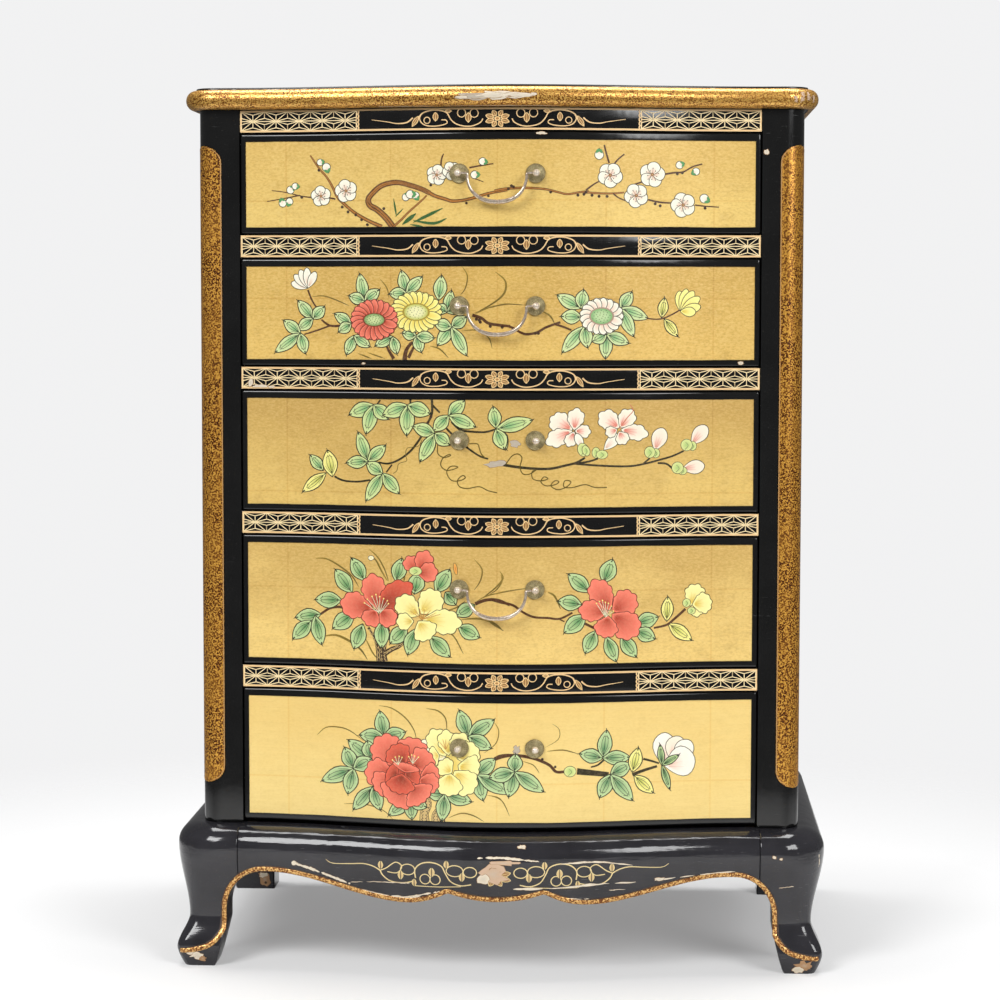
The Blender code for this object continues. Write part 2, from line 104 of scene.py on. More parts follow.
def carcassLine(outward, back):
    # the carcass seen from above, from its left rear corner round the front to the right rear one
    centre, middle = halfWidth - chest["cornerRadius"], frontPlane + chest["cornerRadius"]
    radius = chest["cornerRadius"] + outward
    right = [(centre + radius * math.sin(a), middle - radius * math.cos(a)) for a in stepsBetween(0, quarter, 12)]
    right.append((halfWidth + outward, back))
    return [(-x, y) for x, y in reversed(right)] + bowLine(halfOpening, outward) + right


def smoothPath(points, count):
    # a curve through the points, evenly divided between them
    ends = [points[0]] + list(points) + [points[-1]]
    found = []
    for p0, p1, p2, p3 in zip(ends, ends[1:], ends[2:], ends[3:]):
        for step in range(count):
            t = step / count
            found.append(tuple(0.5 * (2 * b + (c - a) * t + (2 * a - 5 * b + 4 * c - d) * t * t
                                      + (3 * b - a - 3 * c + d) * t**3)
                               for a, b, c, d in zip(p0, p1, p2, p3)))
    return found + [tuple(points[-1])]


def normalAt(line, here):
    # the unit normal of a line in x and z, from the two neighbours of one of its points
    before, after = line[max(here - 1, 0)], line[min(here + 1, len(line) - 1)]
    dx, dz = after[0] - before[0], after[1] - before[1]
    length = math.hypot(dx, dz) or 1
    return -dz / length, dx / length


# shader nodes: an input takes a value, or the output of another node
def setInput(tree, socket, value):
    if isinstance(value, bpy.types.NodeSocket):
        tree.links.new(value, socket)
    elif socket.type == "RGBA":
        socket.default_value = (*value, 1)
    else:
        socket.default_value = value


def addNode(tree, kind, inputs=None, **settings):
    node = tree.nodes.new(kind)
    for name, value in settings.items():
        setattr(node, name, value)
    for name, value in (inputs or {}).items():
        setInput(tree, node.inputs[name], value)
    return node


def addGroup(tree, group, inputs):
    return addNode(tree, "ShaderNodeGroup", inputs, node_tree=group).outputs


def addPlace(tree):
    return addNode(tree, "ShaderNodeTexCoord").outputs["Object"]


def addNoise(tree, scale, detail=3.0, roughness=0.55, stretch=None):
    # noise in object space, stretched by the mapping
    where = addPlace(tree)
    if stretch is not None:
        where = addNode(tree, "ShaderNodeMapping", {"Vector": where, "Scale": stretch}).outputs["Vector"]
    return addNode(tree, "ShaderNodeTexNoise", {"Vector": where, "Scale": scale, "Detail": detail,
                                                "Roughness": roughness}).outputs["Fac"]


def addRange(tree, source, low, high, start=0.0, end=1.0):
    return addNode(tree, "ShaderNodeMapRange", {"Value": source, "From Min": low, "From Max": high,
                                                "To Min": start, "To Max": end}).outputs["Result"]


def addMath(tree, operation, first, second):
    return addNode(tree, "ShaderNodeMath", {0: first, 1: second}, operation=operation).outputs[0]


def addMix(tree, share, first, second, blend="MIX"):
    # sockets 6 and 7 are the mix node's two colours, output 2 its mixed one
    return addNode(tree, "ShaderNodeMix", {0: share, 6: first, 7: second}, data_type="RGBA",
                   blend_type=blend).outputs[2]


def tinted(tree, base, mask, low, high, strength, colour):
    # the base with a colour laid over it, up to a strength where the mask is high
    return addMix(tree, addRange(tree, mask, low, high, 0, strength), base, colour)


def addRamp(tree, source, stops):
    made = addNode(tree, "ShaderNodeValToRGB", {"Fac": source})
    elements = made.color_ramp.elements
    while len(elements) < len(stops):
        elements.new(0.5)
    for element, (place, colour) in zip(elements, stops):
        element.position = place
        element.color = (*colour, 1)
    return made.outputs["Color"]


def newGroup(name, inputs, outputs):
    # a shader group with masks as its outputs
    tree = bpy.data.node_groups.new(name, "ShaderNodeTree")
    for socket, value in inputs.items():
        kind = "NodeSocketVector" if isinstance(value, tuple) else "NodeSocketFloat"
        tree.interface.new_socket(socket, in_out="INPUT", socket_type=kind).default_value = value
    for socket in outputs:
        tree.interface.new_socket(socket, in_out="OUTPUT", socket_type="NodeSocketFloat")
    return tree, tree.nodes.new("NodeGroupInput").outputs, tree.nodes.new("NodeGroupOutput").inputs


def makeDustGroup():
    # fine dust and hairline scratches: a mask of each, and a soft unevenness
    tree, given, made = newGroup("dustAndHairlines", {"Amount": 1.0}, ["Dust", "Hairlines", "Unevenness"])
    dust = addRange(tree, addNoise(tree, 900, 2), 0.70, 0.78)
    fine = addRange(tree, addNoise(tree, 60, 2, 0.6, (1, 1, 14)), 0.68, 0.74)
    bands = addRange(tree, addNoise(tree, 9, 2), 0.5, 0.62)
    scratched = addMath(tree, "MULTIPLY", fine, bands)
    setInput(tree, made["Dust"], addMath(tree, "MULTIPLY", dust, given["Amount"]))
    setInput(tree, made["Hairlines"], addMath(tree, "MULTIPLY", scratched, given["Amount"]))
    setInput(tree, made["Unevenness"], addNoise(tree, 22))
    return tree


def makeMottleGroup():
    # two sizes of mottling, from 0 to 1, for gilding and paint
    tree, given, made = newGroup("mottle", {"Fine": 700.0, "Broad": 40.0}, ["Fine Mask", "Broad Mask"])
    for name, detail in (("Fine", 1.2), ("Broad", 3)):
        setInput(tree, made[name + " Mask"], addRange(tree, addNoise(tree, given[name], detail), 0.33, 0.67))
    return tree


def makeGrainGroup():
    # wood grain along X, Y or Z by its stretch
    tree, given, made = newGroup("woodGrain", {"Stretch": (1, 1, 1)}, ["Grain", "Pores"])
    for name, scale, detail in (("Grain", 24, 6), ("Pores", 130, 2)):
        found = addNoise(tree, scale, detail, 0.5, given["Stretch"])
        setInput(tree, made[name], addRange(tree, found, 0.35, 0.65))
    return tree


dustGroup, mottleGroup, grainGroup = makeDustGroup(), makeMottleGroup(), makeGrainGroup()


# finishes: one Principled shader each; constants go on its own sockets
def newFinish(name, constants):
    finish = bpy.data.materials.new(name)
    finish.use_nodes = True
    tree = finish.node_tree
    shader = tree.nodes["Principled BSDF"]
    for socket, value in constants.items():
        setInput(tree, shader.inputs[socket], value)
    return finish, tree, shader


def endFinish(made, colour, rough, height, strength, distance):
    # wires the colour, the roughness and a bump to the shader
    finish, tree, shader = made
    bump = addNode(tree, "ShaderNodeBump", {"Height": height, "Strength": strength, "Distance": distance})
    for socket, value in (("Base Color", colour), ("Roughness", rough), ("Normal", bump.outputs["Normal"])):
        setInput(tree, shader.inputs[socket], value)
    return finish


def makeLacquer(name, base, dusty, roughness, wrinkled=0.0):
    made = newFinish(name, {"IOR": 1.5})
    tree = made[1]
    wear = addGroup(tree, dustGroup, {"Amount": dusty})
    uneven, hairs = wear["Unevenness"], wear["Hairlines"]
    shade = addMix(tree, addRange(tree, uneven, 0.3, 0.7), mixed(base, (0, 0, 0), 0.4), base)
    shade = addMix(tree, addMath(tree, "MULTIPLY", hairs, 0.10), shade, (0.5, 0.5, 0.5))
    shade = addMix(tree, addMath(tree, "MULTIPLY", wear["Dust"], 0.10), shade, (0.55, 0.53, 0.5))
    rough = addMath(tree, "ADD", addMath(tree, "MULTIPLY", hairs, 0.25),
                    addRange(tree, uneven, 0.3, 0.7, roughness * 0.8, roughness * 1.3))
    height = uneven
    if wrinkled:
        # long shallow wrinkles along the front, which break up its highlights
        along = addNoise(tree, 46, 3, 0.6, (0.28, 1, 2.4))
        height = addMath(tree, "ADD", height, addMath(tree, "MULTIPLY", along, 1.8 * wrinkled))
    return endFinish(made, shade, rough, height, 0.25, 1.2 * mm)


def makeGilding(name, dark, middle, light, fine, roughness):
    # speckled gilding: brown ground, orange and gold flecks of 1 to 3 mm
    made = newFinish(name, {"Metallic": 0.5})
    tree = made[1]
    spots = addGroup(tree, mottleGroup, {"Fine": fine, "Broad": 30.0})
    speck = spots["Fine Mask"]
    flecks = addRamp(tree, speck, [(0.32, dark), (0.43, mixed(dark, middle, 0.55)), (0.53, middle), (0.74, light)])
    golden = addRamp(tree, speck, [(0.0, mixed(dark, middle, 0.6)), (0.5, mixed(middle, light, 0.35)), (1.0, light)])
    patches = addRange(tree, spots["Broad Mask"], 0.35, 0.75)
    shade = addMix(tree, addMath(tree, "MULTIPLY", patches, 0.45), flecks, golden)
    rough = addRange(tree, speck, 0, 1, roughness * 1.25, roughness * 0.8)
    return endFinish(made, shade, rough, speck, 0.15, 0.3 * mm)


goldLeaf = {"warm": (0.3, 0.15, 0.02), "deep": (0.25, 0.12, 0.02), "seamTone": (0.2, 0.1, 0.02),
            "glint": (1, 0.90, 0.55),
            "squares": {"Scale": 1.0, "Mortar Size": 1.1 * mm, "Mortar Smooth": 0.6, "Brick Width": 108 * mm,
                        "Row Height": 98 * mm, "Color1": (0.45, 0.45, 0.45), "Color2": (0.60, 0.60, 0.60)}}


def makeGoldLeaf(name, low, high, pale, ochre, grainy):
    # leaf laid in squares over the field, paler towards its lower edge: a painted reflection of the pale floor in the
    # leaf
    made = newFinish(name, {"Metallic": 0.12})
    tree = made[1]
    apart = addNode(tree, "ShaderNodeSeparateXYZ", {0: addPlace(tree)}).outputs
    broad = addNoise(tree, 9, 3, 0.6, (1, 1, 1.6))
    # painted reflection: the field goes from pale at its lower edge to ochre at its top
    height = addMath(tree, "ADD", addRange(tree, apart["Z"], low, high), addRange(tree, broad, 0.3, 0.7, -0.35, 0.35))
    base = addRamp(tree, height, [(0.05, pale), (0.95, ochre)])
    brush = addNoise(tree, 24, 4, 0.65, (1, 1, 16))
    base = tinted(tree, base, brush, 0.35, 0.7, 0.16, mixed(ochre, goldLeaf["warm"], 0.4))
    cloud = addNoise(tree, 55, 4, 0.6, (1, 1, 1.5))
    base = tinted(tree, base, cloud, 0.52, 0.72, 0.30 * grainy, mixed(ochre, goldLeaf["warm"], 0.35))
    # fine grit: the paler flecks are painted glints, the darker ones the leaf's own texture
    grit = addNoise(tree, 300, 3, 0.7, (1, 1, 2.0))
    base = tinted(tree, base, grit, 0.45, 0.75, 0.36 * grainy, mixed(pale, goldLeaf["glint"], 0.3))
    base = tinted(tree, base, grit, 0.5, 0.25, 0.34 * grainy, mixed(ochre, goldLeaf["deep"], 0.5))
    flat = addNode(tree, "ShaderNodeCombineXYZ", {"X": apart["X"], "Y": apart["Z"]})
    squares = addNode(tree, "ShaderNodeTexBrick", {"Vector": flat.outputs[0], **goldLeaf["squares"]},
                      offset=0.0).outputs
    base = addMix(tree, 0.22, base, squares["Color"], "SOFT_LIGHT")
    seams = addMath(tree, "MULTIPLY", squares["Fac"], addRange(tree, broad, 0.45, 0.65, 0.0, 0.022))
    base = addMix(tree, seams, base, mixed(ochre, goldLeaf["seamTone"], 0.4))
    return endFinish(made, base, addRange(tree, brush, 0.3, 0.7, 0.36, 0.5), brush, 0.05, 0.5 * mm)


def makePaint(name, roughness):
    # brushed enamel that takes its colour from the piece's own attribute
    made = newFinish(name, {})
    tree = made[1]
    colour = addNode(tree, "ShaderNodeAttribute", attribute_name="tint").outputs["Color"]
    spots = addGroup(tree, mottleGroup, {"Fine": 520.0, "Broad": 160.0})
    shade = tinted(tree, colour, spots["Fine Mask"], 0.3, 1, 0.05, (0.9, 0.75, 0.45))
    shade = tinted(tree, shade, spots["Broad Mask"], 0.2, 1, 0.05, (0.40, 0.25, 0.10))
    rough = addRange(tree, spots["Fine Mask"], 0, 1, roughness * 0.85, roughness * 1.1)
    return endFinish(made, shade, rough, spots["Fine Mask"], 0.1, 0.2 * mm)


def makeMetal(name, dark, light, roughness, metallic):
    made = newFinish(name, {"Metallic": metallic})
    tree = made[1]
    spots = addGroup(tree, mottleGroup, {"Fine": 900.0, "Broad": 260.0})
    shade = addMix(tree, spots["Broad Mask"], dark, light)
    shade = tinted(tree, shade, spots["Fine Mask"], 0.55, 1, 0.5, mixed(dark, (0, 0, 0), 0.5))
    rough = addRange(tree, spots["Fine Mask"], 0, 1, roughness * 0.75, roughness * 1.35)
    return endFinish(made, shade, rough, spots["Fine Mask"], 0.12, 0.1 * mm)


def makeWood(name, dark, light, stretch, roughness=0.7):
    made = newFinish(name, {})
    tree = made[1]
    grain = addGroup(tree, grainGroup, {"Stretch": stretch})
    shade = addMix(tree, grain["Grain"], dark, light)
    shade = tinted(tree, shade, grain["Pores"], 0.7, 1, 0.35, mixed(dark, (0, 0, 0), 0.5))
    rough = addRange(tree, grain["Grain"], 0, 1, roughness * 1.1, roughness * 0.85)
    return endFinish(made, shade, rough, grain["Pores"], 0.2, 0.3 * mm)


lacquer = makeLacquer("blackLacquer", (0.008, 0.008, 0.008), 0.9, 0.10)
# the stand's black is paler and bluer than the body's: partly worn lacquer, partly a painted reflection of the pale
# floor
standLacquer = makeLacquer("standLacquer", (0.029, 0.028, 0.033), 1.3, 0.09, 1.0)
topLacquer = makeLacquer("topLacquer", (0.006, 0.006, 0.006), 0.5, 0.28)
mouldingGilt = makeGilding("mouldingGilt", (0.15, 0.05, 0.006), (0.57, 0.245, 0.034), (0.94, 0.58, 0.15), 760.0, 0.30)
stripGilt = makeGilding("stripGilt", (0.075, 0.018, 0.002), (0.40, 0.140, 0.014), (0.95, 0.50, 0.085), 700.0, 0.30)
beadGilt = makeGilding("beadGilt", (0.15, 0.045, 0.009), (0.46, 0.19, 0.038), (0.82, 0.52, 0.19), 560.0, 0.34)
linePaint = makePaint("creamGoldLine", 0.42)
enamel = makePaint("enamel", 0.40)
plateMetal = makeMetal("agedPlate", (0.25, 0.203, 0.095), (0.46, 0.39, 0.21), 0.30, 0.4)
bailMetal = makeMetal("paleBail", (0.52, 0.40, 0.30), (0.82, 0.72, 0.60), 0.14, 0.6)
# painted highlight: the balls take a paler, less metallic copy of the bail's metal, so that they read bright
ballMetal = makeMetal("paleBall", (0.64, 0.52, 0.40), (0.96, 0.87, 0.75), 0.24, 0.35)
drawerWood = makeWood("drawerWood", (0.38, 0.235, 0.115), (0.50, 0.335, 0.185), (9, 0.6, 9))
backWood = makeWood("backWood", (0.060, 0.034, 0.019), (0.105, 0.062, 0.036), (9, 9, 0.6))
gesso = makePaint("chippedGesso", 0.75)
print("finishes made")


# pieces
def finishPiece(name, mesh, materials, body, replaced=(), sharp=35, merged=True):
    # painted shapes lie over one another, so theirs aren't merged and each keeps its own outward faces
    work = bmesh.new()
    work.from_mesh(mesh)
    if merged:
        bmesh.ops.remove_doubles(work, verts=work.verts, dist=0.000001)
    bmesh.ops.recalc_face_normals(work, faces=work.faces)
    work.to_mesh(mesh)
    work.free()
    if merged:
        mesh.shade_smooth()
        mesh.set_sharp_from_angle(angle=math.radians(sharp))
    piece = bpy.data.objects.new(name, mesh)
    bpy.context.scene.collection.objects.link(piece)
    for material in materials:
        mesh.materials.append(material)
    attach(piece, body)
    if replaced:
        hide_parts(*replaced)


def meshOf(name, points, faces, slots=None):
    mesh = bpy.data.meshes.new(name)
    mesh.from_pydata(points, [], faces)
    if slots:
        mesh.polygons.foreach_set("material_index", slots)
    return mesh


def skin(rings, capped=True):
    # vertices and faces of a skin over closed rings of equal count
    count, last = len(rings[0]), len(rings) - 1
    points = [tuple(point) for ring in rings for point in ring]
    faces = []
    for row in range(last):
        for here in range(count):
            a, b = row * count + here, row * count + (here + 1) % count
            faces.append((a, b, b + count, a + count))
    if capped:
        faces += [tuple(range(count)), tuple(range(last * count, last * count + count))]
    return points, faces


def skinPiece(name, rings, material, replaced=(), body="chest", sharp=35):
    finishPiece(name, meshOf(name, *skin(rings)), [material], body, replaced, sharp)


def boxParts(low, high, soft=0.6 * mm):
    # a board with slightly broken edges, as rings from its lower face up
    rings = []
    for z, inset in ((low[2], soft), (low[2] + soft, 0), (high[2] - soft, 0), (high[2], soft)):
        ax, bx, ay, by = low[0] + inset, high[0] - inset, low[1] + inset, high[1] - inset
        rings.append([(ax, ay, z), (bx, ay, z), (bx, by, z), (ax, by, z)])
    return skin(rings)


def joinedMesh(name, parts):
    # parts are ((points, faces), material index)
    points, faces, slots = [], [], []
    for (somePoints, someFaces), index in parts:
        start = len(points)
        points += somePoints
        faces += [tuple(start + corner for corner in face) for face in someFaces]
        slots += [index] * len(someFaces)
    return meshOf(name, points, faces, slots)


def pulledIn(outline, inset):
    # each corner of a closed outline moved in along its two neighbours' mean normal
    if inset == 0:
        return outline
    count, moved = len(outline), []
    area = sum(a[0] * b[1] - b[0] * a[1] for a, b in zip(outline, outline[1:] + outline[:1]))
    side = 1 if area > 0 else -1
    for here in range(count):
        before, point, after = outline[here - 1], outline[here], outline[(here + 1) % count]
        normals = []
        for a, b in ((before, point), (point, after)):
            dx, dy = b[0] - a[0], b[1] - a[1]
            length = math.hypot(dx, dy) or 1
            normals.append((-dy / length * side, dx / length * side))
        nx, ny = normals[0][0] + normals[1][0], normals[0][1] + normals[1][1]
        length = max(nx * nx + ny * ny, 0.4)  # a sharp corner moves no further than this allows
        moved.append((point[0] + 2 * inset * nx / length, point[1] + 2 * inset * ny / length))
    return moved


def outlineRings(outline, low, high, soft):
    # an outline raised from low to high with its edges rounded
    lower = [(low + soft * (1 - math.cos(a)), soft * (1 - math.sin(a))) for a in stepsBetween(0, quarter, 3)]
    upper = [(high - soft * (1 - math.cos(a)), soft * (1 - math.sin(a))) for a in stepsBetween(quarter, 0, 3)]
    return [[(x, y, z) for x, y in pulledIn(outline, inset)] for z, inset in lower + upper]


# top slab and its gilt bullnose
top = {"thickness": 22 * mm, "slabReach": 3.5 * mm, "bullnoseOut": 10.5 * mm, "bullnoseHigh": 20 * mm,
       "lip": 1 * mm, "arcSteps": 18, "edgeRadius": 0.8 * mm}


def makeTop():
    outline = carcassLine(top["slabReach"], backPlane)
    rings = outlineRings(outline, carcassTop, carcassTop + top["thickness"], top["edgeRadius"])
    skinPiece("top_slab", rings, topLacquer, ["top_panel"])
    inner = top["slabReach"] + gap
    half = top["bullnoseHigh"] / 2
    bulge = top["bullnoseOut"] - gap - top["lip"]
    section = [(inner, 0)]
    section += [(inner + top["lip"] + bulge * math.cos(a), half + half * math.sin(a))
                for a in stepsBetween(-quarter, quarter, top["arcSteps"])]
    section.append((inner, top["bullnoseHigh"]))
    lines = [carcassLine(out, backPlane) for out, _ in section]
    rings = [[(*line[station], carcassTop + up) for line, (_, up) in zip(lines, section)]
             for station in range(len(lines[0]))]
    skinPiece("gilt_bullnose", rings, mouldingGilt, ["top_moulding"])


# corner posts and the gilt strips let into them
# the rim values set a pale line painted round each strip as the highlight on its edge
post = {"stripRadius": 17.5 * mm, "halfAngle": math.radians(67), "low": standTop + 41.6 * mm,
        "high": carcassTop - 36 * mm, "endLength": 17 * mm, "depth": 6 * mm, "tipShare": 0.11,
        "edgeRadius": 1.5 * mm, "footRounds": ((0.35, 0.12), (0, 0.45)), "rim": 1.0 * mm,
        "rimInset": 0.7 * mm, "rimOut": 0.12 * mm, "rimIn": -0.8 * mm, "highlightTone": (0.50, 0.27, 0.09)}
stripX, stripY = halfWidth - post["stripRadius"], frontPlane + post["stripRadius"]  # the strips' own centre


def stripPoint(side, angle, height, out):
    radius = post["stripRadius"] + out
    turn = angle - math.pi / 4
    return side * (stripX + radius * math.cos(turn)), stripY + radius * math.sin(turn), height


def stripLevels(grow=0.0, count=10):
    # the strip's heights and half its angle at each, with rounded ends, grown by a margin
    rises = [post["endLength"] * (1 - math.cos(a)) for a in stepsBetween(0, quarter, count)]
    levels = [(post["low"] + rise - grow, rise) for rise in rises]
    levels += [(post["high"] - rise + grow, rise) for rise in reversed(rises)]
    widths = []
    for height, rise in levels:
        share = max(math.sqrt(1 - (1 - rise / post["endLength"]) ** 2), post["tipShare"])
        widths.append((height, post["halfAngle"] * share + grow / post["stripRadius"]))
    return widths


def postPoint(turn, height):
    # the post's outer face in the direction turn, seen from the strip's own centre
    radius, corner, never = post["stripRadius"], chest["cornerRadius"], 1e9
    dx, dy = math.cos(turn), math.sin(turn)
    flatFront = radius / -dy if dy < -1e-6 else never
    flatSide = radius / dx if dx > 1e-6 else never
    if stripX + dx * flatFront <= halfWidth - corner and flatFront < flatSide:
        reach = flatFront
    elif stripY + dy * flatSide >= frontPlane + corner and flatSide < flatFront:
        reach = flatSide
    else:
        shift = corner - radius
        along = -shift * dx + shift * dy
        reach = along + math.sqrt(max(along * along + corner * corner - 2 * shift * shift, 0))
    return stripX + dx * reach, stripY + dy * reach, height


def postRing(height, halfAngle):
    # the post's outline with the strip's channel cut to both sides of the corner's middle
    middle = -math.pi / 4
    first = math.atan2(-post["stripRadius"], halfOpening - stripX)
    last = math.atan2(frontPlane + chest["cornerRadius"] - stripY, post["stripRadius"])
    low, high = middle - halfAngle, middle + halfAngle
    floor = post["stripRadius"] - post["depth"] - gap
    ring = [postPoint(turn, height) for turn in stepsBetween(first, low, 16)]
    for turn in stepsBetween(low, high, 18):
        ring.append((stripX + floor * math.cos(turn), stripY + floor * math.sin(turn), height)
                    if halfAngle > 0 else postPoint(turn, height))
    ring += [postPoint(turn, height) for turn in stepsBetween(high, max(last, high + 0.02), 10)]
    return ring + [(halfWidth, stileBack, height), (halfOpening, stileBack, height)]


def makePosts():
    low, high, soft = standTop + gap, carcassTop - gap, post["edgeRadius"]
    levels = [(low, 0), (post["low"] - gap, 0)] + stripLevels(gap) + [(post["high"] + gap, 0), (high, 0)]
    for name, side in bothSides:
        rings = [[(side * x, y, z) for x, y, z in postRing(*level)] for level in levels]
        foot = rings[0]
        middleX, middleY = (sum(point[axis] for point in foot) / len(foot) for axis in (0, 1))
        for up, inset in post["footRounds"]:
            rings.insert(0, [(x - math.copysign(soft * inset, x - middleX),
                              y - math.copysign(soft * inset, y - middleY), low + soft * up) for x, y, _ in foot])
        rings[2] = [(x, y, low + soft) for x, y, _ in foot]
        skinPiece("post_" + name, rings, lacquer, ["stile_" + name])
        rings = []
        for height, halfAngle in stripLevels():
            angles = stepsBetween(-halfAngle, halfAngle, 24)
            rings.append([stripPoint(side, a, height, 0) for a in angles]
                         + [stripPoint(side, a, height, -post["depth"]) for a in reversed(angles)])
        skinPiece("corner_strip_" + name, rings, stripGilt, ["gilt_strip_" + name])
        makeStripHighlight("strip_edge_highlight_" + name, side)


def tintMesh(mesh, tints):
    tint = mesh.attributes.new("tint", "FLOAT_COLOR", "POINT")
    tint.data.foreach_set("color", [part for colour in tints for part in (*colour, 1)])


def makeStripHighlight(name, side):
    # a pale line round the strip, drawn where it meets the black: a painted highlight along the strip's edge
    levels = stripLevels(-post["rimInset"], 14)
    path = levels + [(height, -angle) for height, angle in reversed(levels)]
    half = post["rim"] / post["stripRadius"] / 2
    section = [(-half, post["rimOut"]), (half, post["rimOut"]), (half, post["rimIn"]), (-half, post["rimIn"])]
    rings = [[stripPoint(side, angle + turn, height, out) for turn, out in section] for height, angle in path]
    mesh = meshOf(name, *skin(rings + rings[:1], False))
    tintMesh(mesh, [post["highlightTone"]] * len(mesh.vertices))
    finishPiece(name, mesh, [linePaint], "chest", ())


# rails, with the dust board and guides behind each of the lower four
rail = {"depth": 45 * mm, "dustBoard": 9 * mm, "guideHigh": 14 * mm, "guideSetBack": 2 * mm, "guideLap": 1 * mm,
        "guideFront": 42.5 * mm, "sideThick": 15 * mm, "edgeRadius": 0.7 * mm, "boardDrop": 0.02 * mm}


def railHeights(number):
    low, high = heightsOf(f"rail_{number}")
    return low, high - rail["guideHigh"] if number > 1 else high


def makeRail(number):
    reach, back = halfOpening - gap, frontPlane + rail["depth"]
    low, high = railHeights(number)
    outline = bowLine(reach, 0) + [(reach, back), (-reach, back)]
    parts = [(skin(outlineRings(outline, low, high, rail["edgeRadius"])), 0)]
    if number > 1:
        wide, behind = halfWidth - rail["sideThick"] - gap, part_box(f"rail_{number}")[1].y
        parts.append((boxParts((-wide, stileBack + gap, high - rail["dustBoard"]),
                               (wide, behind, high - rail["boardDrop"])), 1))
        for side in (-1, 1):
            inner, outer = sorted((side * halfOpening, side * (wide - gap)))
            parts.append((boxParts((inner, frontPlane + rail["guideFront"] + gap, high - rail["guideLap"]),
                                   (outer, behind - rail["guideSetBack"], high + rail["guideHigh"])), 1))
    finishPiece(f"rail_board_{number}", joinedMesh(f"rail_board_{number}", parts), [lacquer, drawerWood], "chest",
                [f"rail_{number}"])


# stand: cabriole legs, bulging aprons
stand = {"shoulderReach": 3 * mm, "kneeReach": 27.2 * mm, "ankleReach": 13 * mm, "toeReach": 24 * mm,
         "soleReach": 17 * mm, "kneeHigh": standTop - 22.4 * mm, "ankleHigh": 52 * mm, "toeHigh": 20 * mm,
         "legWidth": 40.5 * mm, "ankleInner": 27 * mm, "soleInner": 15 * mm, "ankleCorner": 13 * mm,
         "toeCorner": 9 * mm, "cornerLimit": 0.9, "soleCurl": 1.5, "taperHigh": 44 * mm, "taperCurl": 0.8,
         "rearDepth": 40 * mm, "rearEdge": 1.5 * mm, "apronThick": 12 * mm, "apronEdge": 1 * mm,
         "archHigh": standTop - 45.4 * mm, "archSpring": 57.8 * mm, "archReach": 40 * mm,
         "lobeHigh": standTop - 66.8 * mm, "cuspHigh": standTop - 58.4 * mm, "sideLobeHigh": standTop - 70.7 * mm,
         "cuspPlace": 49 * mm, "sideLobePlace": 92 * mm, "archPlace": halfWidth - 72.9 * mm, "edgeRadius": 2 * mm}


def legReach(height):
    s = stand
    if height >= s["kneeHigh"]:
        rise = min((height - s["kneeHigh"]) / (standTop - s["kneeHigh"]), 1)
        return s["shoulderReach"] + (s["kneeReach"] - s["shoulderReach"]) * math.sqrt(1 - rise**2)
    if height >= s["ankleHigh"]:
        return eased(height, s["ankleHigh"], s["kneeHigh"], s["ankleReach"], s["kneeReach"])
    if height >= s["toeHigh"]:
        return eased(height, s["toeHigh"], s["ankleHigh"], s["toeReach"], s["ankleReach"])
    return s["toeReach"] - (s["toeReach"] - s["soleReach"]) * (1 - height / s["toeHigh"]) ** s["soleCurl"]


def legInner(height, taper=True):
    s = stand
    if height >= s["archSpring"]:
        rise = min((height - s["archSpring"]) / (s["archHigh"] - s["archSpring"]), 1)
        return min(s["ankleInner"] + s["archReach"] * (1 - math.sqrt(1 - rise**2)), s["legWidth"])
    if height >= s["taperHigh"] or not taper:
        return s["ankleInner"]
    return s["soleInner"] + (s["ankleInner"] - s["soleInner"]) * (height / s["taperHigh"]) ** s["taperCurl"]


def legCorner(height):
    # the radius of the leg's outer corner
    s, limit = stand, stand["cornerLimit"] * (legReach(height) + legInner(height))
    if height >= s["kneeHigh"]:
        return min(chest["cornerRadius"] + legReach(height), limit)
    if height >= s["ankleHigh"]:
        widest = chest["cornerRadius"] + s["kneeReach"]
        return min(eased(height, s["ankleHigh"], s["kneeHigh"], s["ankleCorner"], widest), limit)
    return min(eased(height, s["toeHigh"], s["ankleHigh"], s["toeCorner"], s["ankleCorner"]), limit)


def legHeights():
    s = stand
    knee = [s["kneeHigh"] + (standTop - s["kneeHigh"]) * math.sin(a) for a in stepsBetween(0, quarter, 14)]
    return (stepsBetween(0, s["toeHigh"], 8)[:-1] + stepsBetween(s["toeHigh"], s["ankleHigh"], 14)[:-1]
            + stepsBetween(s["ankleHigh"], s["kneeHigh"], 30)[:-1] + knee)


def legRing(height):
    # outward across and outward forward, from the leg's inner edge round its outer corner
    reach, inner, radius = legReach(height), legInner(height), legCorner(height)
    centre = reach - radius
    soft = min(stand["edgeRadius"], 0.3 * (reach + inner))
    ring = [(-inner + soft * (1 - math.cos(a)), reach - soft * (1 - math.sin(a)))
            for a in stepsBetween(0, quarter, 4)]
    ring += [(centre + radius * math.sin(a), centre + radius * math.cos(a)) for a in stepsBetween(0, quarter, 14)]
    return ring + [(reach, -inner), (-inner, -inner)]


def makeLegs():
    near, soft = backPlane - stand["rearDepth"], stand["rearEdge"]
    for name, side in bothSides:
        foreRings, rearRings = [], []
        for height in legHeights():
            foreRings.append([(side * (halfWidth + x), frontPlane - y, height) for x, y in legRing(height)])
            outer, inner = halfWidth + legReach(height), halfWidth - legInner(height, False)
            rearRings.append([(side * x, y, height) for x, y in
                         ((inner, near + soft), (inner + soft, near), (outer - soft, near), (outer, near + soft),
                          (outer, backPlane), (inner, backPlane))])
        skinPiece("cabriole_leg_" + name, foreRings, standLacquer, ["leg_front_" + name])
        skinPiece("rear_leg_" + name, rearRings, standLacquer, ["leg_rear_" + name])


def archFall(inset):
    s = stand
    run = min(max((s["ankleInner"] + s["archReach"] - inset) / s["archReach"], 0), 1)
    return s["archSpring"] + (s["archHigh"] - s["archSpring"]) * math.sqrt(1 - run**2)


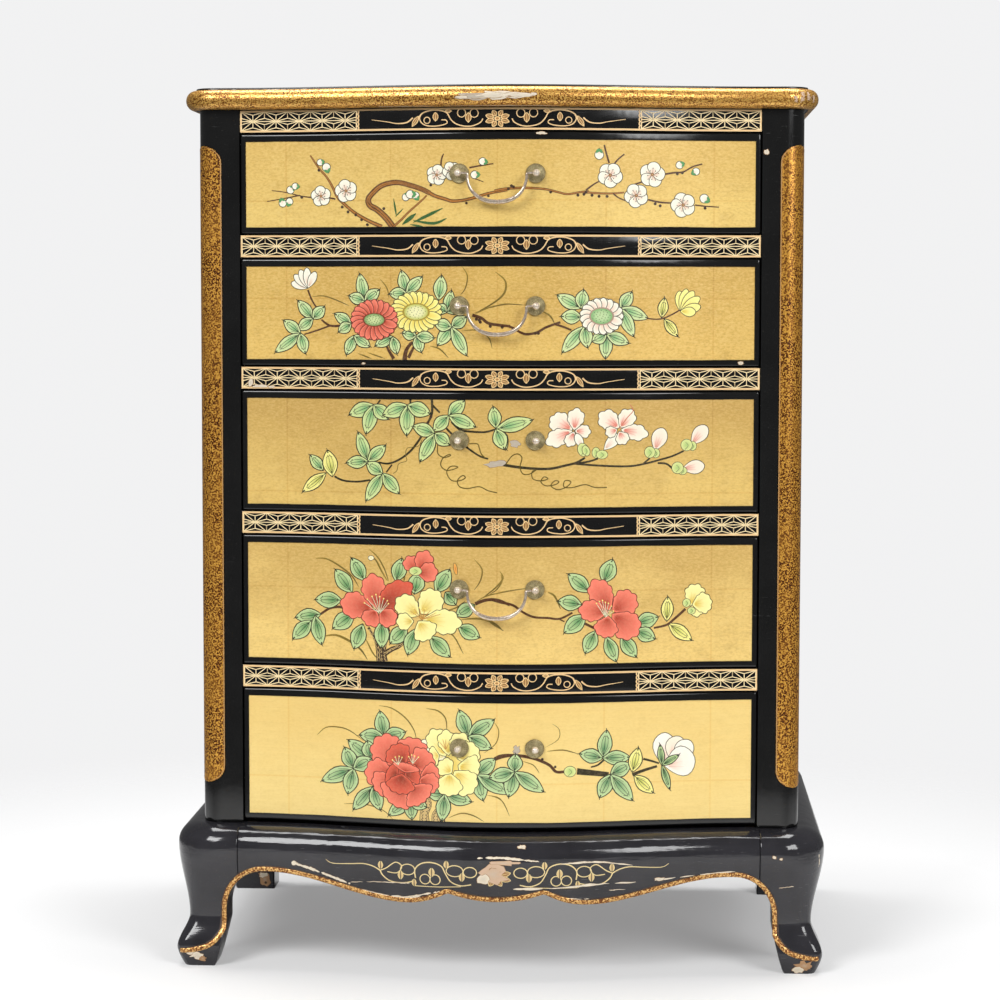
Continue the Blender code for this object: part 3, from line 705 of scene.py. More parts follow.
def frontEdge(x):
    # height of the front apron's scalloped edge
    s, place = stand, abs(x)
    if place <= s["cuspPlace"]:
        return s["lobeHigh"] + (s["cuspHigh"] - s["lobeHigh"]) * (place / s["cuspPlace"]) ** 2
    if place <= s["sideLobePlace"]:
        run = (s["sideLobePlace"] - place) / (s["sideLobePlace"] - s["cuspPlace"])
        return s["sideLobeHigh"] + (s["cuspHigh"] - s["sideLobeHigh"]) * run**2
    if place <= s["archPlace"]:
        return eased(place, s["sideLobePlace"], s["archPlace"], s["sideLobeHigh"], s["archHigh"])
    return archFall(halfWidth - place)


def apronSection(edge):
    s, soft = stand, stand["apronEdge"]
    heights = [standTop - (standTop - s["kneeHigh"]) * (1 - math.cos(a)) for a in stepsBetween(0, quarter, 14)]
    heights += stepsBetween(s["kneeHigh"], edge + soft, 10)[1:]
    outer = [(legReach(height), height) for height in heights] + [(legReach(edge) - soft, edge)]
    return outer + [(-s["apronThick"] + soft, edge), (-s["apronThick"], edge + soft), (-s["apronThick"], standTop)]


def onApron(x, z, out=0.0):
    return Vector((x, frontPlane - bow(x) - legReach(z) - out, z))


def makeAprons():
    s = stand
    reach = halfWidth - s["legWidth"] - gap
    stations = (0, s["cuspPlace"], s["sideLobePlace"], s["archPlace"], reach)
    right = sorted({round(x, 6) for low, high, count in zip(stations, stations[1:], (14, 14, 34, 16))
                    for x in stepsBetween(low, high, count)})
    rings = [[(x, frontPlane - bow(x) - out, height) for out, height in apronSection(frontEdge(x))]
             for x in [-x for x in reversed(right[1:])] + right]
    skinPiece("apron_bulge", rings, standLacquer, ["apron_front"])
    near = frontPlane + s["legWidth"] + gap
    far = backPlane - s["rearDepth"] - gap
    middle = (near + far) / 2
    for name, side in bothSides:
        rings = []
        for y in stepsBetween(near, far, 60):
            inset = min(y, 2 * middle - y) - frontPlane
            run = abs(y - middle) / (middle - frontPlane - s["ankleInner"] - s["archReach"])
            edge = min(eased(run, 0, 1, s["sideLobeHigh"], s["archHigh"]), archFall(inset))
            rings.append([(side * (halfWidth + out), y, height) for out, height in apronSection(edge)])
        skinPiece("side_apron_" + name, rings, standLacquer, ["apron_" + name])


# drawer fronts: a rounded black border round a field of gold leaf
front = {"gap": 1.2 * mm, "edgeRadius": 2.2 * mm, "fieldHalf": halfOpening - 6.7 * mm, "fieldTop": 8.0 * mm,
         "fieldBottom": 6.6 * mm, "recess": 0.8 * mm, "thick": 20 * mm, "ledge": 0.25 * mm,
         "waver": 0.35 * mm, "waverScale": 25}
# each gold field's lower tone, upper tone and how grainy it is; the pale lower tone is a painted reflection of the
# floor
fieldTones = {1: ((0.84, 0.59, 0.17), (0.72, 0.47, 0.12), 1.4), 2: ((0.82, 0.54, 0.14), (0.67, 0.42, 0.10), 1.6),
              3: ((0.82, 0.56, 0.16), (0.61, 0.38, 0.10), 1.1), 4: ((0.92, 0.65, 0.21), (0.67, 0.43, 0.12), 1.1),
              5: ((0.93, 0.70, 0.26), (0.89, 0.63, 0.21), 0.5)}


def fieldHeights(number):
    low, high = heightsOf(f"drawer_{number}_front")
    return low + front["fieldBottom"], high - front["fieldTop"]


def makeFront(number):
    low, high = heightsOf(f"drawer_{number}_front")
    lowField, highField = fieldHeights(number)
    reach, half, ledge, radius = halfOpening - front["gap"], front["fieldHalf"], front["ledge"], front["edgeRadius"]
    soft = [radius * (1 - math.cos(a)) for a in stepsBetween(0, quarter, 4)]
    sides = [-reach + d for d in soft] + [-half - ledge, -half]
    across = sides + stepsBetween(-half, half, 110)[1:-1] + [-x for x in reversed(sides)]
    ups = [low + d for d in soft] + [lowField - ledge, lowField] + stepsBetween(lowField, highField, 12)[1:-1]
    ups += [highField, highField + ledge] + [high - d for d in reversed(soft)]
    wide, tall, border = len(across), len(ups), len(soft) + 1

    def fall(distance):
        return radius - math.sqrt(max(radius * radius - max(radius - distance, 0) ** 2, 0))

    def inField(column, row, last=0):
        return border <= column < wide - border - last and border <= row < tall - border - last

    points, faces, slots = [], [], []
    for row, z in enumerate(ups):
        waving = min(abs(z - lowField), abs(z - highField)) < 2 * ledge
        for column, x in enumerate(across):
            out = -min(fall(reach - abs(x)) + fall(min(z - low, high - z)), radius)
            if inField(column, row):
                out = -front["recess"]
            waver = front["waver"] * noise.noise((x * front["waverScale"], z * front["waverScale"], number))
            points.append(tuple(onBow(x, z + (waver if waving else 0), out)))
    for row in range(tall - 1):
        for column in range(wide - 1):
            a = row * wide + column
            faces.append((a, a + 1, a + 1 + wide, a + wide))
            slots.append(1 if inField(column, row, 1) else 0)
    # the sides, from the face's edge back to a second ring of points
    edge = list(range(wide)) + [row * wide + wide - 1 for row in range(1, tall)]
    edge += [(tall - 1) * wide + column for column in range(wide - 2, -1, -1)]
    edge += [row * wide for row in range(tall - 2, 0, -1)]
    start = len(points)
    points += [(points[index][0], frontPlane - bow(points[index][0]) + front["thick"], points[index][2])
               for index in edge]
    for here in range(len(edge)):
        after = (here + 1) % len(edge)
        faces.append((edge[here], start + here, start + after, edge[after]))
        slots.append(0)
    # the back, in strips from the lower edge to the upper
    upper = [start + 2 * wide + tall - 3 - column for column in range(wide)]
    leftEnd = [start + index for index in range(len(edge) - 1, len(edge) - tall + 1, -1)]
    rightEnd = [start + wide + index for index in range(tall - 2)]
    for column in range(wide - 1):
        strip = [start + column] + (leftEnd if column == 0 else []) + [upper[column], upper[column + 1]]
        strip += list(reversed(rightEnd)) if column == wide - 2 else []
        faces.append(tuple(strip + [start + column + 1]))
        slots.append(2)
    gold = makeGoldLeaf(f"goldLeaf{number}", lowField, highField, *fieldTones[number])
    mesh = meshOf(f"drawer_front_{number}", points, faces, slots)
    finishPiece(f"drawer_front_{number}", mesh, [lacquer, gold, drawerWood], f"drawer_{number}",
                [f"drawer_{number}_front"], 40)


# pulls: a plate turned with rings, post, ball, shank and nut
pull = {"spacing": 76.2 * mm, "plateRadius": 9.8 * mm, "plateThick": 1.6 * mm, "postRadius": 2.4 * mm,
        "ballRadius": 3.6 * mm, "ballOut": 10.5 * mm, "shankRadius": 2.0 * mm, "nutRadius": 4.8 * mm,
        "nutThick": 3 * mm, "rimShare": 0.6, "ripples": 4, "rippleDeep": 0.16 * mm, "hollow": 0.25 * mm}


def turnedParts(profile, where, count=40):
    # a profile of (radius, out) turned about the line that leaves the drawer face squarely
    turns = [fullTurn * step / count for step in range(count)]
    least = 0.00002  # a radius that keeps the ring open
    return skin([[where(max(radius, least) * math.cos(a), max(radius, least) * math.sin(a), out) for a in turns]
                 for radius, out in profile])


def pullPlace(side, height):
    x = side * pull["spacing"] / 2
    turn = math.atan(-bowSlope(x))

    def where(across, up, out):
        return Vector((x + across * math.cos(turn) + out * math.sin(turn),
                       frontPlane - bow(x) + across * math.sin(turn) - out * math.cos(turn), height + up))
    return where


def makePull(number, name, side):
    low, high = heightsOf(f"pull_{number}_{name}")
    where = pullPlace(side, (low + high) / 2)
    p, back = pull, -front["thick"] - gap
    meet = math.pi - math.asin(p["postRadius"] / p["ballRadius"])
    ball = [(p["ballRadius"] * math.sin(a), p["ballOut"] + p["ballRadius"] * math.cos(a))
            for a in stepsBetween(0, meet, 12)] + [(p["postRadius"], p["plateThick"] * 0.4)]
    radii = stepsBetween(p["postRadius"] + 0.2 * mm, p["plateRadius"] - 0.8 * mm, 34)
    profile = []
    for radius in radii:
        run = (radius - radii[0]) / (radii[-1] - radii[0])
        ripple = p["rippleDeep"] * (math.cos(run * 2 * p["ripples"] * math.pi) - 1) / 2
        profile.append((radius, p["plateThick"] + gap + ripple - p["hollow"] * math.sin(run * math.pi)))
    rim, shank, nut, chamfer = p["plateRadius"], p["shankRadius"], p["nutRadius"], 0.3 * mm
    profile += [(rim - 0.25 * mm, p["plateThick"] * 0.85), (rim, p["plateThick"] * p["rimShare"]), (rim, gap),
                (shank, gap), (shank, back), (shank, back - 2 * p["nutThick"])]
    far = back - p["nutThick"]
    nutProfile = [(shank - 0.1 * mm, back), (nut - chamfer, back), (nut, back - chamfer), (nut, far + chamfer),
                  (nut - chamfer, far), (shank - 0.1 * mm, far)]
    parts = [(turnedParts(profile, where), 0), (turnedParts(ball, where), 1), (turnedParts(nutProfile, where, 6), 1)]
    finishPiece(f"pull_post_{number}_{name}", joinedMesh(f"pull_post_{number}_{name}", parts),
                [plateMetal, ballMetal], f"drawer_{number}", [f"pull_{number}_{name}"], 30)


# bails: a grooved wire that swells to the middle, its pins in the two balls
bail = {"drawers": (1, 2, 4), "width": 59 * mm, "drop": 28.5 * mm, "pin": 1.1 * mm, "arm": 1.5 * mm,
        "middle": 2.5 * mm, "turn": 2.5 * mm, "roundness": 0.9, "pinShare": 0.35, "neck": 1.35 * mm,
        "rings": ((0.50, 0.010), (0.47, 0.006), (0.53, 0.006), (0.30, 0.006), (0.70, 0.006), (0.27, 0.006),
                  (0.73, 0.006)), "ringDeep": 0.16, "grooveDeep": 0.07, "sides": 14}


def makeBail(number):
    b = bail
    low, high = heightsOf(f"pull_{number}_right")
    height = (low + high) / 2
    ball = pullPlace(1, height)(0, 0, pull["ballOut"])
    pinEnd, arm = ball.x - pull["ballRadius"] * b["pinShare"], b["width"] / 2
    path = []
    for angle in stepsBetween(0, math.pi, 90):
        across = -math.copysign(abs(math.cos(angle)) ** b["roundness"], math.cos(angle))
        down = abs(math.sin(angle)) ** b["roundness"]
        radius = b["arm"] + (b["middle"] - b["arm"]) * math.sin(angle) ** 2
        ring = max(1 - abs(angle / math.pi - place) / reach for place, reach in b["rings"])
        radius *= 1 - b["ringDeep"] * max(ring, 0)
        path.append((arm * across, -b["turn"] / 2 - (b["drop"] - b["turn"] / 2) * down, radius))
    start = [(-pinEnd, 0, b["pin"]), (-arm - b["turn"], 0, b["pin"]), (-arm - 0.9 * mm, -0.35 * mm, b["neck"])]
    path = start + path + [(-x, z, r) for x, z, r in reversed(start)]
    rings = []
    for here, (x, z, radius) in enumerate(path):
        nx, nz = normalAt(path, here)
        ring = []
        for a in (fullTurn * step / b["sides"] for step in range(b["sides"])):
            r = radius * (1 - b["grooveDeep"] * (math.cos(a * 7) > 0.5))
            ring.append((x + nx * r * math.cos(a), ball.y + r * math.sin(a), height + z + nz * r * math.cos(a)))
        rings.append(ring)
    skinPiece(f"swing_bail_{number}", rings, bailMetal, [f"bail_{number}"], f"bail_{number}", 50)


def dressNode(name, finish):
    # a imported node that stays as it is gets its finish
    for slot in bpy.data.objects[name].material_slots:
        slot.material = finish


makeTop()
makePosts()
for number in drawers:
    makeRail(number)
print("carcass drawn")
makeLegs()
makeAprons()
print("stand drawn")
for number in drawers:
    makeFront(number)
    for name, side in bothSides:
        makePull(number, name, side)
    for board in ("side_left", "side_right", "back", "bottom"):
        dressNode(f"drawer_{number}_{board}", drawerWood)
for number in bail["drawers"]:
    makeBail(number)
for name, finish in (("side_left", lacquer), ("side_right", lacquer), ("back_panel", backWood),
                     ("bottom_board", backWood)):
    dressNode(name, finish)
print("drawers drawn")

# painting on a bowed face: closed slabs and strokes, each a little above the last
paint = {"firstLift": 0.10 * mm, "liftStep": 0.006 * mm, "liftRoom": 0.6 * mm, "bedded": 0.3 * mm,
         "column": 8.0, "cell": 2.0, "middle": 0.55}


def fromSrgb(colour):
    return tuple((part / 255 / 12.92 if part / 255 <= 0.04045 else ((part / 255 + 0.055) / 1.055) ** 2.4)
                 for part in colour)


def around(centre, reach, angle):
    # the point of a circle or an ellipse at an angle
    wide, high = reach if isinstance(reach, tuple) else (reach, reach)
    return centre[0] + wide * math.cos(angle), centre[1] + high * math.sin(angle)


def ellipse(centre, reach, count):
    return [around(centre, reach, a) for a in stepsBetween(0, fullTurn, count)]


class Painter:
    # collects flat painted shapes in millimetres; place(x, z, lift) gives the world point of one
    def __init__(self, place):
        self.place, self.shapes, self.covered = place, [], {}

    def add(self, flat, faces, tints):
        # flat points are (x, z, raised); a shape lies one level above all it may cover
        size, cells = paint["cell"], set()
        for face in faces:
            corners = [flat[corner] for corner in face]
            if all(raised for _, _, raised in corners):
                columns, rows = (range(math.floor(min(values) / size), math.floor(max(values) / size) + 1)
                                 for values in list(zip(*corners))[:2])
                cells.update((column, row) for column in columns for row in rows)
        level = 1 + max((self.covered.get(cell, 0) for cell in cells), default=0)
        self.covered.update((cell, level) for cell in cells)
        self.shapes.append((flat, faces, tints, level))

    def slab(self, outline, rim, middle=None, hub=None, centre=None):
        # a closed outline filled from a hub outwards, its colour going from hub to rim
        middle = middle or rim
        count = len(outline)
        centre = centre or tuple(sum(point[axis] for point in outline) / count for axis in (0, 1))
        flat = [(*centre, True)] + [(*mixed(centre, point, paint["middle"]), True) for point in outline]
        flat += [(*point, raised) for raised in (True, False) for point in outline] + [(*centre, False)]
        faces = []
        for here in range(count):
            a, b = 1 + here, 1 + (here + 1) % count
            faces += [(0, a, b), (a, a + count, b + count, b), (a + count, a + 2 * count, b + 2 * count, b + count),
                      (a + 2 * count, 1 + 3 * count, b + 2 * count)]
        self.add(flat, faces, [hub or middle] + [middle] * count + [rim] * (2 * count + 1))

    def stroke(self, path, startWidth, endWidth, startColour, endColour=None, steps=4, thinned=False):
        # a brush stroke along a smooth path, which may thin out at both ends
        line = smoothPath(path, steps) if len(path) > 2 else [mixed(*path, step / 3) for step in range(4)]
        last, flat, tints = len(line) - 1, [], []
        for here, (x, z) in enumerate(line):
            nx, nz = normalAt(line, here)
            share = here / last
            half = (startWidth + (endWidth - startWidth) * share) / 2
            if thinned:
                half *= max(math.sin(math.pi * min(max(share, 0.02), 0.98)) ** 0.6, 0.12)
            sx, sz = nx * half, nz * half
            flat += [(x + sx, z + sz, True), (x - sx, z - sz, True), (x - sx, z - sz, False), (x + sx, z + sz, False)]
            tints += [mixed(startColour, endColour or startColour, share)] * 4
        faces = []
        for a in range(0, last * 4, 4):
            faces += [(a + corner, a + (corner + 1) % 4, a + 4 + (corner + 1) % 4, a + 4 + corner)
                      for corner in range(4)]
        faces += [(0, 1, 2, 3), tuple(last * 4 + corner for corner in (3, 2, 1, 0))]
        self.add(flat, faces, tints)

    def dot(self, centre, radius, colour, sides=9, hub=None, stretch=1.0):
        self.slab(ellipse(centre, (radius * stretch, radius), sides)[:-1], colour, None, hub)

    def cutFace(self, points, tints, face, cuts):
        # one face split along the columns, so that every layer bends along the same lines
        wide, pieces = paint["column"], []
        low, high = (limit(points[corner][0] for corner in face) for limit in (min, max))
        rest = list(face)
        for column in range(math.floor(low / wide) + 1, math.ceil(high / wide)):
            edge, left, right = column * wide, [], []
            for here, after in zip(rest, rest[1:] + rest[:1]):
                a, b = points[here], points[after]
                if a[0] <= edge:
                    left.append(here)
                if a[0] >= edge:
                    right.append(here)
                if (a[0] - edge) * (b[0] - edge) < 0:
                    key = (min(here, after), max(here, after), column)
                    if key not in cuts:
                        share = (edge - a[0]) / (b[0] - a[0])
                        cuts[key] = len(points)
                        points.append((edge, *mixed(a[1:], b[1:], share)))
                        tints.append(mixed(tints[here], tints[after], share))
                    left.append(cuts[key])
                    right.append(cuts[key])
            if len(left) > 2:
                pieces.append(tuple(left))
            rest = right
        return pieces + [tuple(rest)] if len(rest) > 2 else pieces

    def piece(self, name, body, finish, slotName):
        step = min(paint["liftStep"], paint["liftRoom"] / max(shape[-1] for shape in self.shapes))
        points, faces, tints = [], [], []
        for flat, shapeFaces, shapeTints, level in self.shapes:
            start, cuts = len(points), {}
            lift = paint["firstLift"] + level * step
            points += [(x, z, lift if raised else -paint["bedded"]) for x, z, raised in flat]
            tints += shapeTints
            for face in shapeFaces:
                faces += self.cutFace(points, tints, [start + corner for corner in face], cuts)
        wide, placed = paint["column"], []
        for x, z, lift in points:
            column = math.floor(x / wide) * wide
            near, far = self.place(column, z, lift), self.place(column + wide, z, lift)
            placed.append(tuple(near.lerp(far, (x - column) / wide)))
        mesh = meshOf(name, placed, faces)
        tintMesh(mesh, tints)
        finishPiece(name, mesh, [finish], body, (), merged=False)


def spun(base, tip):
    # the unit vector from base to tip, and the length
    dx, dz = tip[0] - base[0], tip[1] - base[1]
    length = math.hypot(dx, dz) or 0.001
    return (dx / length, dz / length), length


def beside(base, along, far, wide=0.0, unit=1.0):
    # the point far units along from base and wide millimetres to its left
    return (base[0] + along[0] * unit * far - along[1] * wide, base[1] + along[1] * unit * far + along[0] * wide)


def leafOutline(base, tip, width, grow=0.0, fullness=0.42, pointed=1.0, sides=10, ruffle=0.0, waves=7):
    # both edges of a leaf or petal, widest at fullness along it; pointed near 0 gives a round end
    along, length = spun(base, tip)
    base = beside(base, along, -grow)
    length += 2 * grow
    edge = []
    for step in range(1, sides):
        share = (1 - math.cos(math.pi * step / sides)) / 2
        if share < fullness:
            wide = math.sin(quarter * share / fullness) ** 0.9
        else:
            run = (share - fullness) / (1 - fullness)
            wide = (1 - run**1.7) * pointed + math.sqrt(max(1 - run**2, 0)) * (1 - pointed)
        edge.append((length * share, wide * (width / 2 + grow)))
    found, heart = [], length * 0.5
    for far, wide in [(0, 0)] + edge + [(length, 0)] + [(far, -wide) for far, wide in reversed(edge)]:
        if ruffle and far > length * 0.3:
            swell = 1 + ruffle * (2 * abs(math.cos(waves / 2 * math.atan2(wide, far - heart))) - 1)
            far, wide = heart + (far - heart) * swell, wide * swell
        found.append(beside(base, along, far, wide))
    return found


# the palette, sRGB: an inner and an outer tone of each leaf, petal and daisy's eye, and the inks of the lines
leafTones = {"pale": ((112, 188, 122), (218, 230, 168)), "vine": ((112, 186, 122), (214, 226, 156)),
             "deep": ((56, 142, 78), (196, 218, 156)), "teal": ((66, 138, 88), (196, 218, 160)),
             "lemon": ((200, 205, 90), (252, 242, 150))}
petalTones = {"red": ((176, 56, 34), (250, 132, 108)), "redDark": ((128, 36, 18), (226, 96, 72)),
              "yellow": ((236, 206, 70), (253, 246, 150)), "lemonPetal": ((226, 190, 66), (254, 246, 168)),
              "white": ((240, 200, 176), (250, 249, 230)), "trumpet": ((236, 116, 98), (252, 246, 224)),
              "blush": ((238, 158, 138), (251, 242, 220)), "shell": ((244, 200, 178), (253, 248, 234)),
              "cream": ((238, 224, 150), (253, 248, 215)), "amber": ((214, 120, 50), (244, 184, 90)),
              "calyx": ((172, 204, 120), (222, 228, 150))}
eyeTones = {"red": ((106, 150, 84), (208, 224, 160)), "yellow": ((192, 196, 96), (246, 244, 190)),
            "white": ((118, 176, 108), (196, 220, 164))}
inkTones = {"outline": (24, 34, 18), "twig": (78, 42, 16), "limb": (98, 58, 20), "twigLight": (176, 114, 42),
            "stem": (40, 34, 6), "trunk": (52, 32, 18), "scribble": (214, 184, 122), "tendril": (96, 80, 16),
            "grassDark": (86, 74, 24), "grass": (150, 124, 44), "blade": (36, 92, 38), "knot": (52, 26, 10),
            "redInk": (92, 20, 12), "whiteInk": (58, 52, 32), "pistil": (206, 118, 90), "heart": (150, 96, 60),
            "heartLight": (214, 190, 110), "budLeaf": (78, 150, 88), "pollen": (250, 232, 130)}
tonePairs = {name: (fromSrgb(a), fromSrgb(b)) for name, (a, b) in {**leafTones, **petalTones}.items()}
ink = {name: fromSrgb(colour) for name, colour in inkTones.items()}
reds, ruffled = ("red", "redDark"), ("red", "redDark", "lemonPetal", "cream", "trumpet")
veined = ("trumpet", "blush", "shell")
# brush work: line widths in millimetres, edges as sides, ruffle and waves, the rest shares of the shape
leafBrush = {"rim": 1.1, "shape": (0.5, 0.75), "tip": ((-2.4, 0.3), (0.2, 0), (2.6, 1.0)), "tipWidths": (1.5, 0.4),
             "middle": (0.75, (0.0, 0), (0.4, 0), (0.8, 0.02)),
             "across": (0.6, (0.72, -0.24), (0.80, -0.04), (0.74, 0.2)),
             "sides": ((0.6, (0.12, 0), (0.4, 0.20), (0.66, 0.20), (0.84, 0.06)),
                       (0.44, (0.1, 0), (0.24, 0.2), (0.42, 0.36)))}
petalBrush = {"rim": 0.75, "shape": (0.6, 0.2), "plain": (10, 0, 7), "ruffled": (24, 0.085, 7),
              "wideRuffled": (24, 0.075, 9), "wideFrom": 20, "line": 0.4, "veinedLine": 0.7, "deep": 0.85,
              "redDeep": 0.62}
blossomBrush = {"petals": 5, "stamens": 10, "reach": 0.38, "further": 0.12, "widths": (0.35, 0.25), "pollen": 0.55,
                "heart": 0.15}
daisyBrush = {"rows": ((0.97, 0.5, 0.8), (1.0, 0.0, 1.0)), "eyeRim": 1.16, "dots": 26, "dotReach": 0.86,
              "dotTurn": 2.4, "dot": 0.5}
stamenBrush = {"rim": (0.9, 0.5), "inner": (0.45, 0.3), "pollen": 0.8}


def inkOf(tone):
    if tone in reds:
        return ink["redInk"]
    return ink["outline"] if tone in leafTones or tone == "calyx" else ink["whiteInk"]


def drawLeaf(pad, base, tip, width, tone):
    inner, outer = tonePairs[tone]
    dark = inkOf(tone)
    along, length = spun(base, tip)
    soft = mixed(dark, inner, 0.10)

    def vein(thick, *places):
        # through places given as shares along the leaf and shares of its width across it
        pad.stroke([beside(base, along, far, wide * width, length) for far, wide in places], thick, thick * 0.6,
                   soft, steps=3)

    pad.slab(leafOutline(base, tip, width, leafBrush["rim"], *leafBrush["shape"]), dark)
    pad.slab(leafOutline(base, tip, width, 0, *leafBrush["shape"]), outer, mixed(inner, outer, 0.66),
             mixed(inner, dark, 0.15), beside(base, along, 0.30, 0, length))
    vein(*leafBrush["middle"])
    for side in (-1, 1):
        for thick, *places in leafBrush["sides"]:
            vein(thick, *((far, side * wide) for far, wide in places))
    vein(*leafBrush["across"])
    pad.stroke([beside(tip, along, far, wide) for far, wide in leafBrush["tip"]], *leafBrush["tipWidths"], dark,
               steps=3)


def drawPetal(pad, base, tip, width, tone, lines=3, plain=False, deep=None):
    inner, outer = tonePairs[tone]
    dark = inkOf(tone)
    along, length = spun(base, tip)
    edge = petalBrush["plain"]
    if tone in ruffled and not plain:
        edge = petalBrush["wideRuffled" if width > petalBrush["wideFrom"] else "ruffled"]
    deep = deep or petalBrush["redDeep" if tone in reds else "deep"]
    pad.slab(leafOutline(base, tip, width, petalBrush["rim"], *petalBrush["shape"], *edge), dark)
    pad.slab(leafOutline(base, tip, width, 0, *petalBrush["shape"], *edge), outer, mixed(inner, outer, deep), inner,
             beside(base, along, 0.15, 0, length))
    wide = petalBrush["veinedLine" if tone in veined else "line"]
    for line in range(lines):
        side = (line - (lines - 1) / 2) * width * 0.2
        pad.stroke([beside(base, along, 0.12, side * 0.3, length), beside(base, along, 0.6, side, length)],
                   wide, wide / 2, mixed(inner, dark, 0.25), mixed(inner, outer, 0.5))


def drawBlossom(pad, centre, radius, turn):
    # five round petals and ten stamens, as on a fruit tree
    for step in range(blossomBrush["petals"]):
        drawPetal(pad, centre, around(centre, radius, math.radians(turn + step * 72 + 90)), radius, "white", 1)
    for step in range(blossomBrush["stamens"]):
        reach = blossomBrush["reach"] + blossomBrush["further"] * (step % 2)
        tip = around(centre, radius * reach, math.radians(turn + step * 36 + 60))
        pad.stroke([centre, tip], *blossomBrush["widths"], mixed(ink["redInk"], ink["scribble"], 0.3))
        pad.dot(tip, blossomBrush["pollen"], ink["knot"], 5)
    pad.dot(centre, radius * blossomBrush["heart"], ink["heart"], 8, ink["heartLight"])


def drawBud(pad, centre, radius, turn):
    a = math.radians(turn + 90)
    base = around(centre, -radius, a)
    drawPetal(pad, base, around(centre, radius, a), radius * 1.6, "white", 1)
    for side in (-0.6, 0.6):
        pad.slab(leafOutline(base, around(base, radius * 1.1, a + side), radius * 0.6), ink["budLeaf"])


def drawDaisy(pad, centre, radii, petals, eye, tone):
    # one row of round-ended petals round a dotted eye, a few tips of a second row behind it
    def scaled(size, share):
        return size[0] * share, size[1] * share

    for reach, offset, wide in daisyBrush["rows"]:
        for step in range(petals):
            a = fullTurn * (step + offset) / petals
            drawPetal(pad, around(centre, scaled(eye, 0.6), a), around(centre, scaled(radii, reach), a),
                      fullTurn * radii[0] / petals * wide, tone, 1, True, 0.5)
    low, pale = (fromSrgb(colour) for colour in eyeTones[tone])
    pad.slab(ellipse(centre, scaled(eye, daisyBrush["eyeRim"]), 18)[:-1],
             mixed(tonePairs[tone][0], ink["knot"], 0.55))
    pad.slab(ellipse(centre, eye, 18)[:-1], low, mixed(low, pale, 0.8), pale)
    for step in range(daisyBrush["dots"]):
        reach = math.sqrt((step + 0.5) / daisyBrush["dots"]) * daisyBrush["dotReach"]
        spot = around(centre, scaled(eye, reach), step * daisyBrush["dotTurn"])
        pad.dot(spot, daisyBrush["dot"], mixed(low, ink["outline"], 0.8), 5)


def drawOval(pad, centre, radii, turn, tone):
    inner, outer = tonePairs[tone]
    a = math.radians(turn)

    def ring(grow):
        return [(centre[0] + x * math.cos(a) - z * math.sin(a), centre[1] + x * math.sin(a) + z * math.cos(a))
                for x, z in ellipse((0, 0), (radii[0] + grow, radii[1] + grow), 20)[:-1]]

    pad.slab(ring(0.5), inkOf(tone))
    pad.slab(ring(0), outer, mixed(inner, outer, 0.6), inner)
    if tone == "calyx":
        bend = [(centre[0] + radii[0] * x, centre[1] + radii[1] * z)
                for x, z in ((-0.3, -0.8), (0.3, -0.1), (-0.2, 0.5))]
        pad.stroke(bend, 0.6, 0.4, mixed(inkOf(tone), inner, 0.3))


def drawWood(pad, kind, path, start, end):
    # a dark stroke, a paler middle where it is thick, bark lines over it
    dark = ink["trunk" if kind in ("trunk", "root") else kind if kind in ("stem", "limb") else "twig"]
    wider = 1.5 if kind == "stem" else 1.15
    pad.stroke(path, start * wider, end * wider, dark, steps=6)
    if kind == "limb":
        pad.stroke(path, start * 0.5, end * 0.45, ink["twigLight"])
    if kind == "bark":
        pad.stroke(path, start * 0.82, end * 0.8, mixed(ink["limb"], ink["twigLight"], 0.45), steps=6)
        pad.stroke(path, start * 0.5, end * 0.42, ink["twigLight"], steps=6)
        for shift in (-0.2, 0.02, 0.24):
            line = [(x + start * shift, z - start * shift) for x, z in path]
            pad.stroke(line, start * 0.11, end * 0.08, mixed(ink["twig"], ink["limb"], 0.4))
    if kind == "root":
        pad.stroke(path, start, end, ink["scribble"], steps=6)
    if kind in ("trunk", "root"):
        marks = ink["scribble"] if kind == "trunk" else ink["trunk"]
        line = smoothPath(path, 5)
        for (x, z), (farX, farZ) in zip(line[:-2:2], line[2::2]):
            for side in (-1, 1):
                shift = side * start * (0.2 + 0.12 * noise.noise((x, z, side)))
                bend = ((x + farX) / 2 + shift * 1.6, (z + farZ) / 2)
                pad.stroke([(x + shift, z), bend, (farX + shift * 0.5, farZ)], 0.5, 0.7, marks, steps=2)


def drawStamen(pad, base, tip, tone):
    pad.stroke([base, tip], *stamenBrush["rim"], mixed(tonePairs[tone][0], ink["knot"], 0.75))
    pad.stroke([base, tip], *stamenBrush["inner"], tonePairs[tone][1])
    pad.dot(tip, stamenBrush["pollen"], ink["pollen"], 6)


def pairs(numbers):
    return list(zip(numbers[::2], numbers[1::2]))


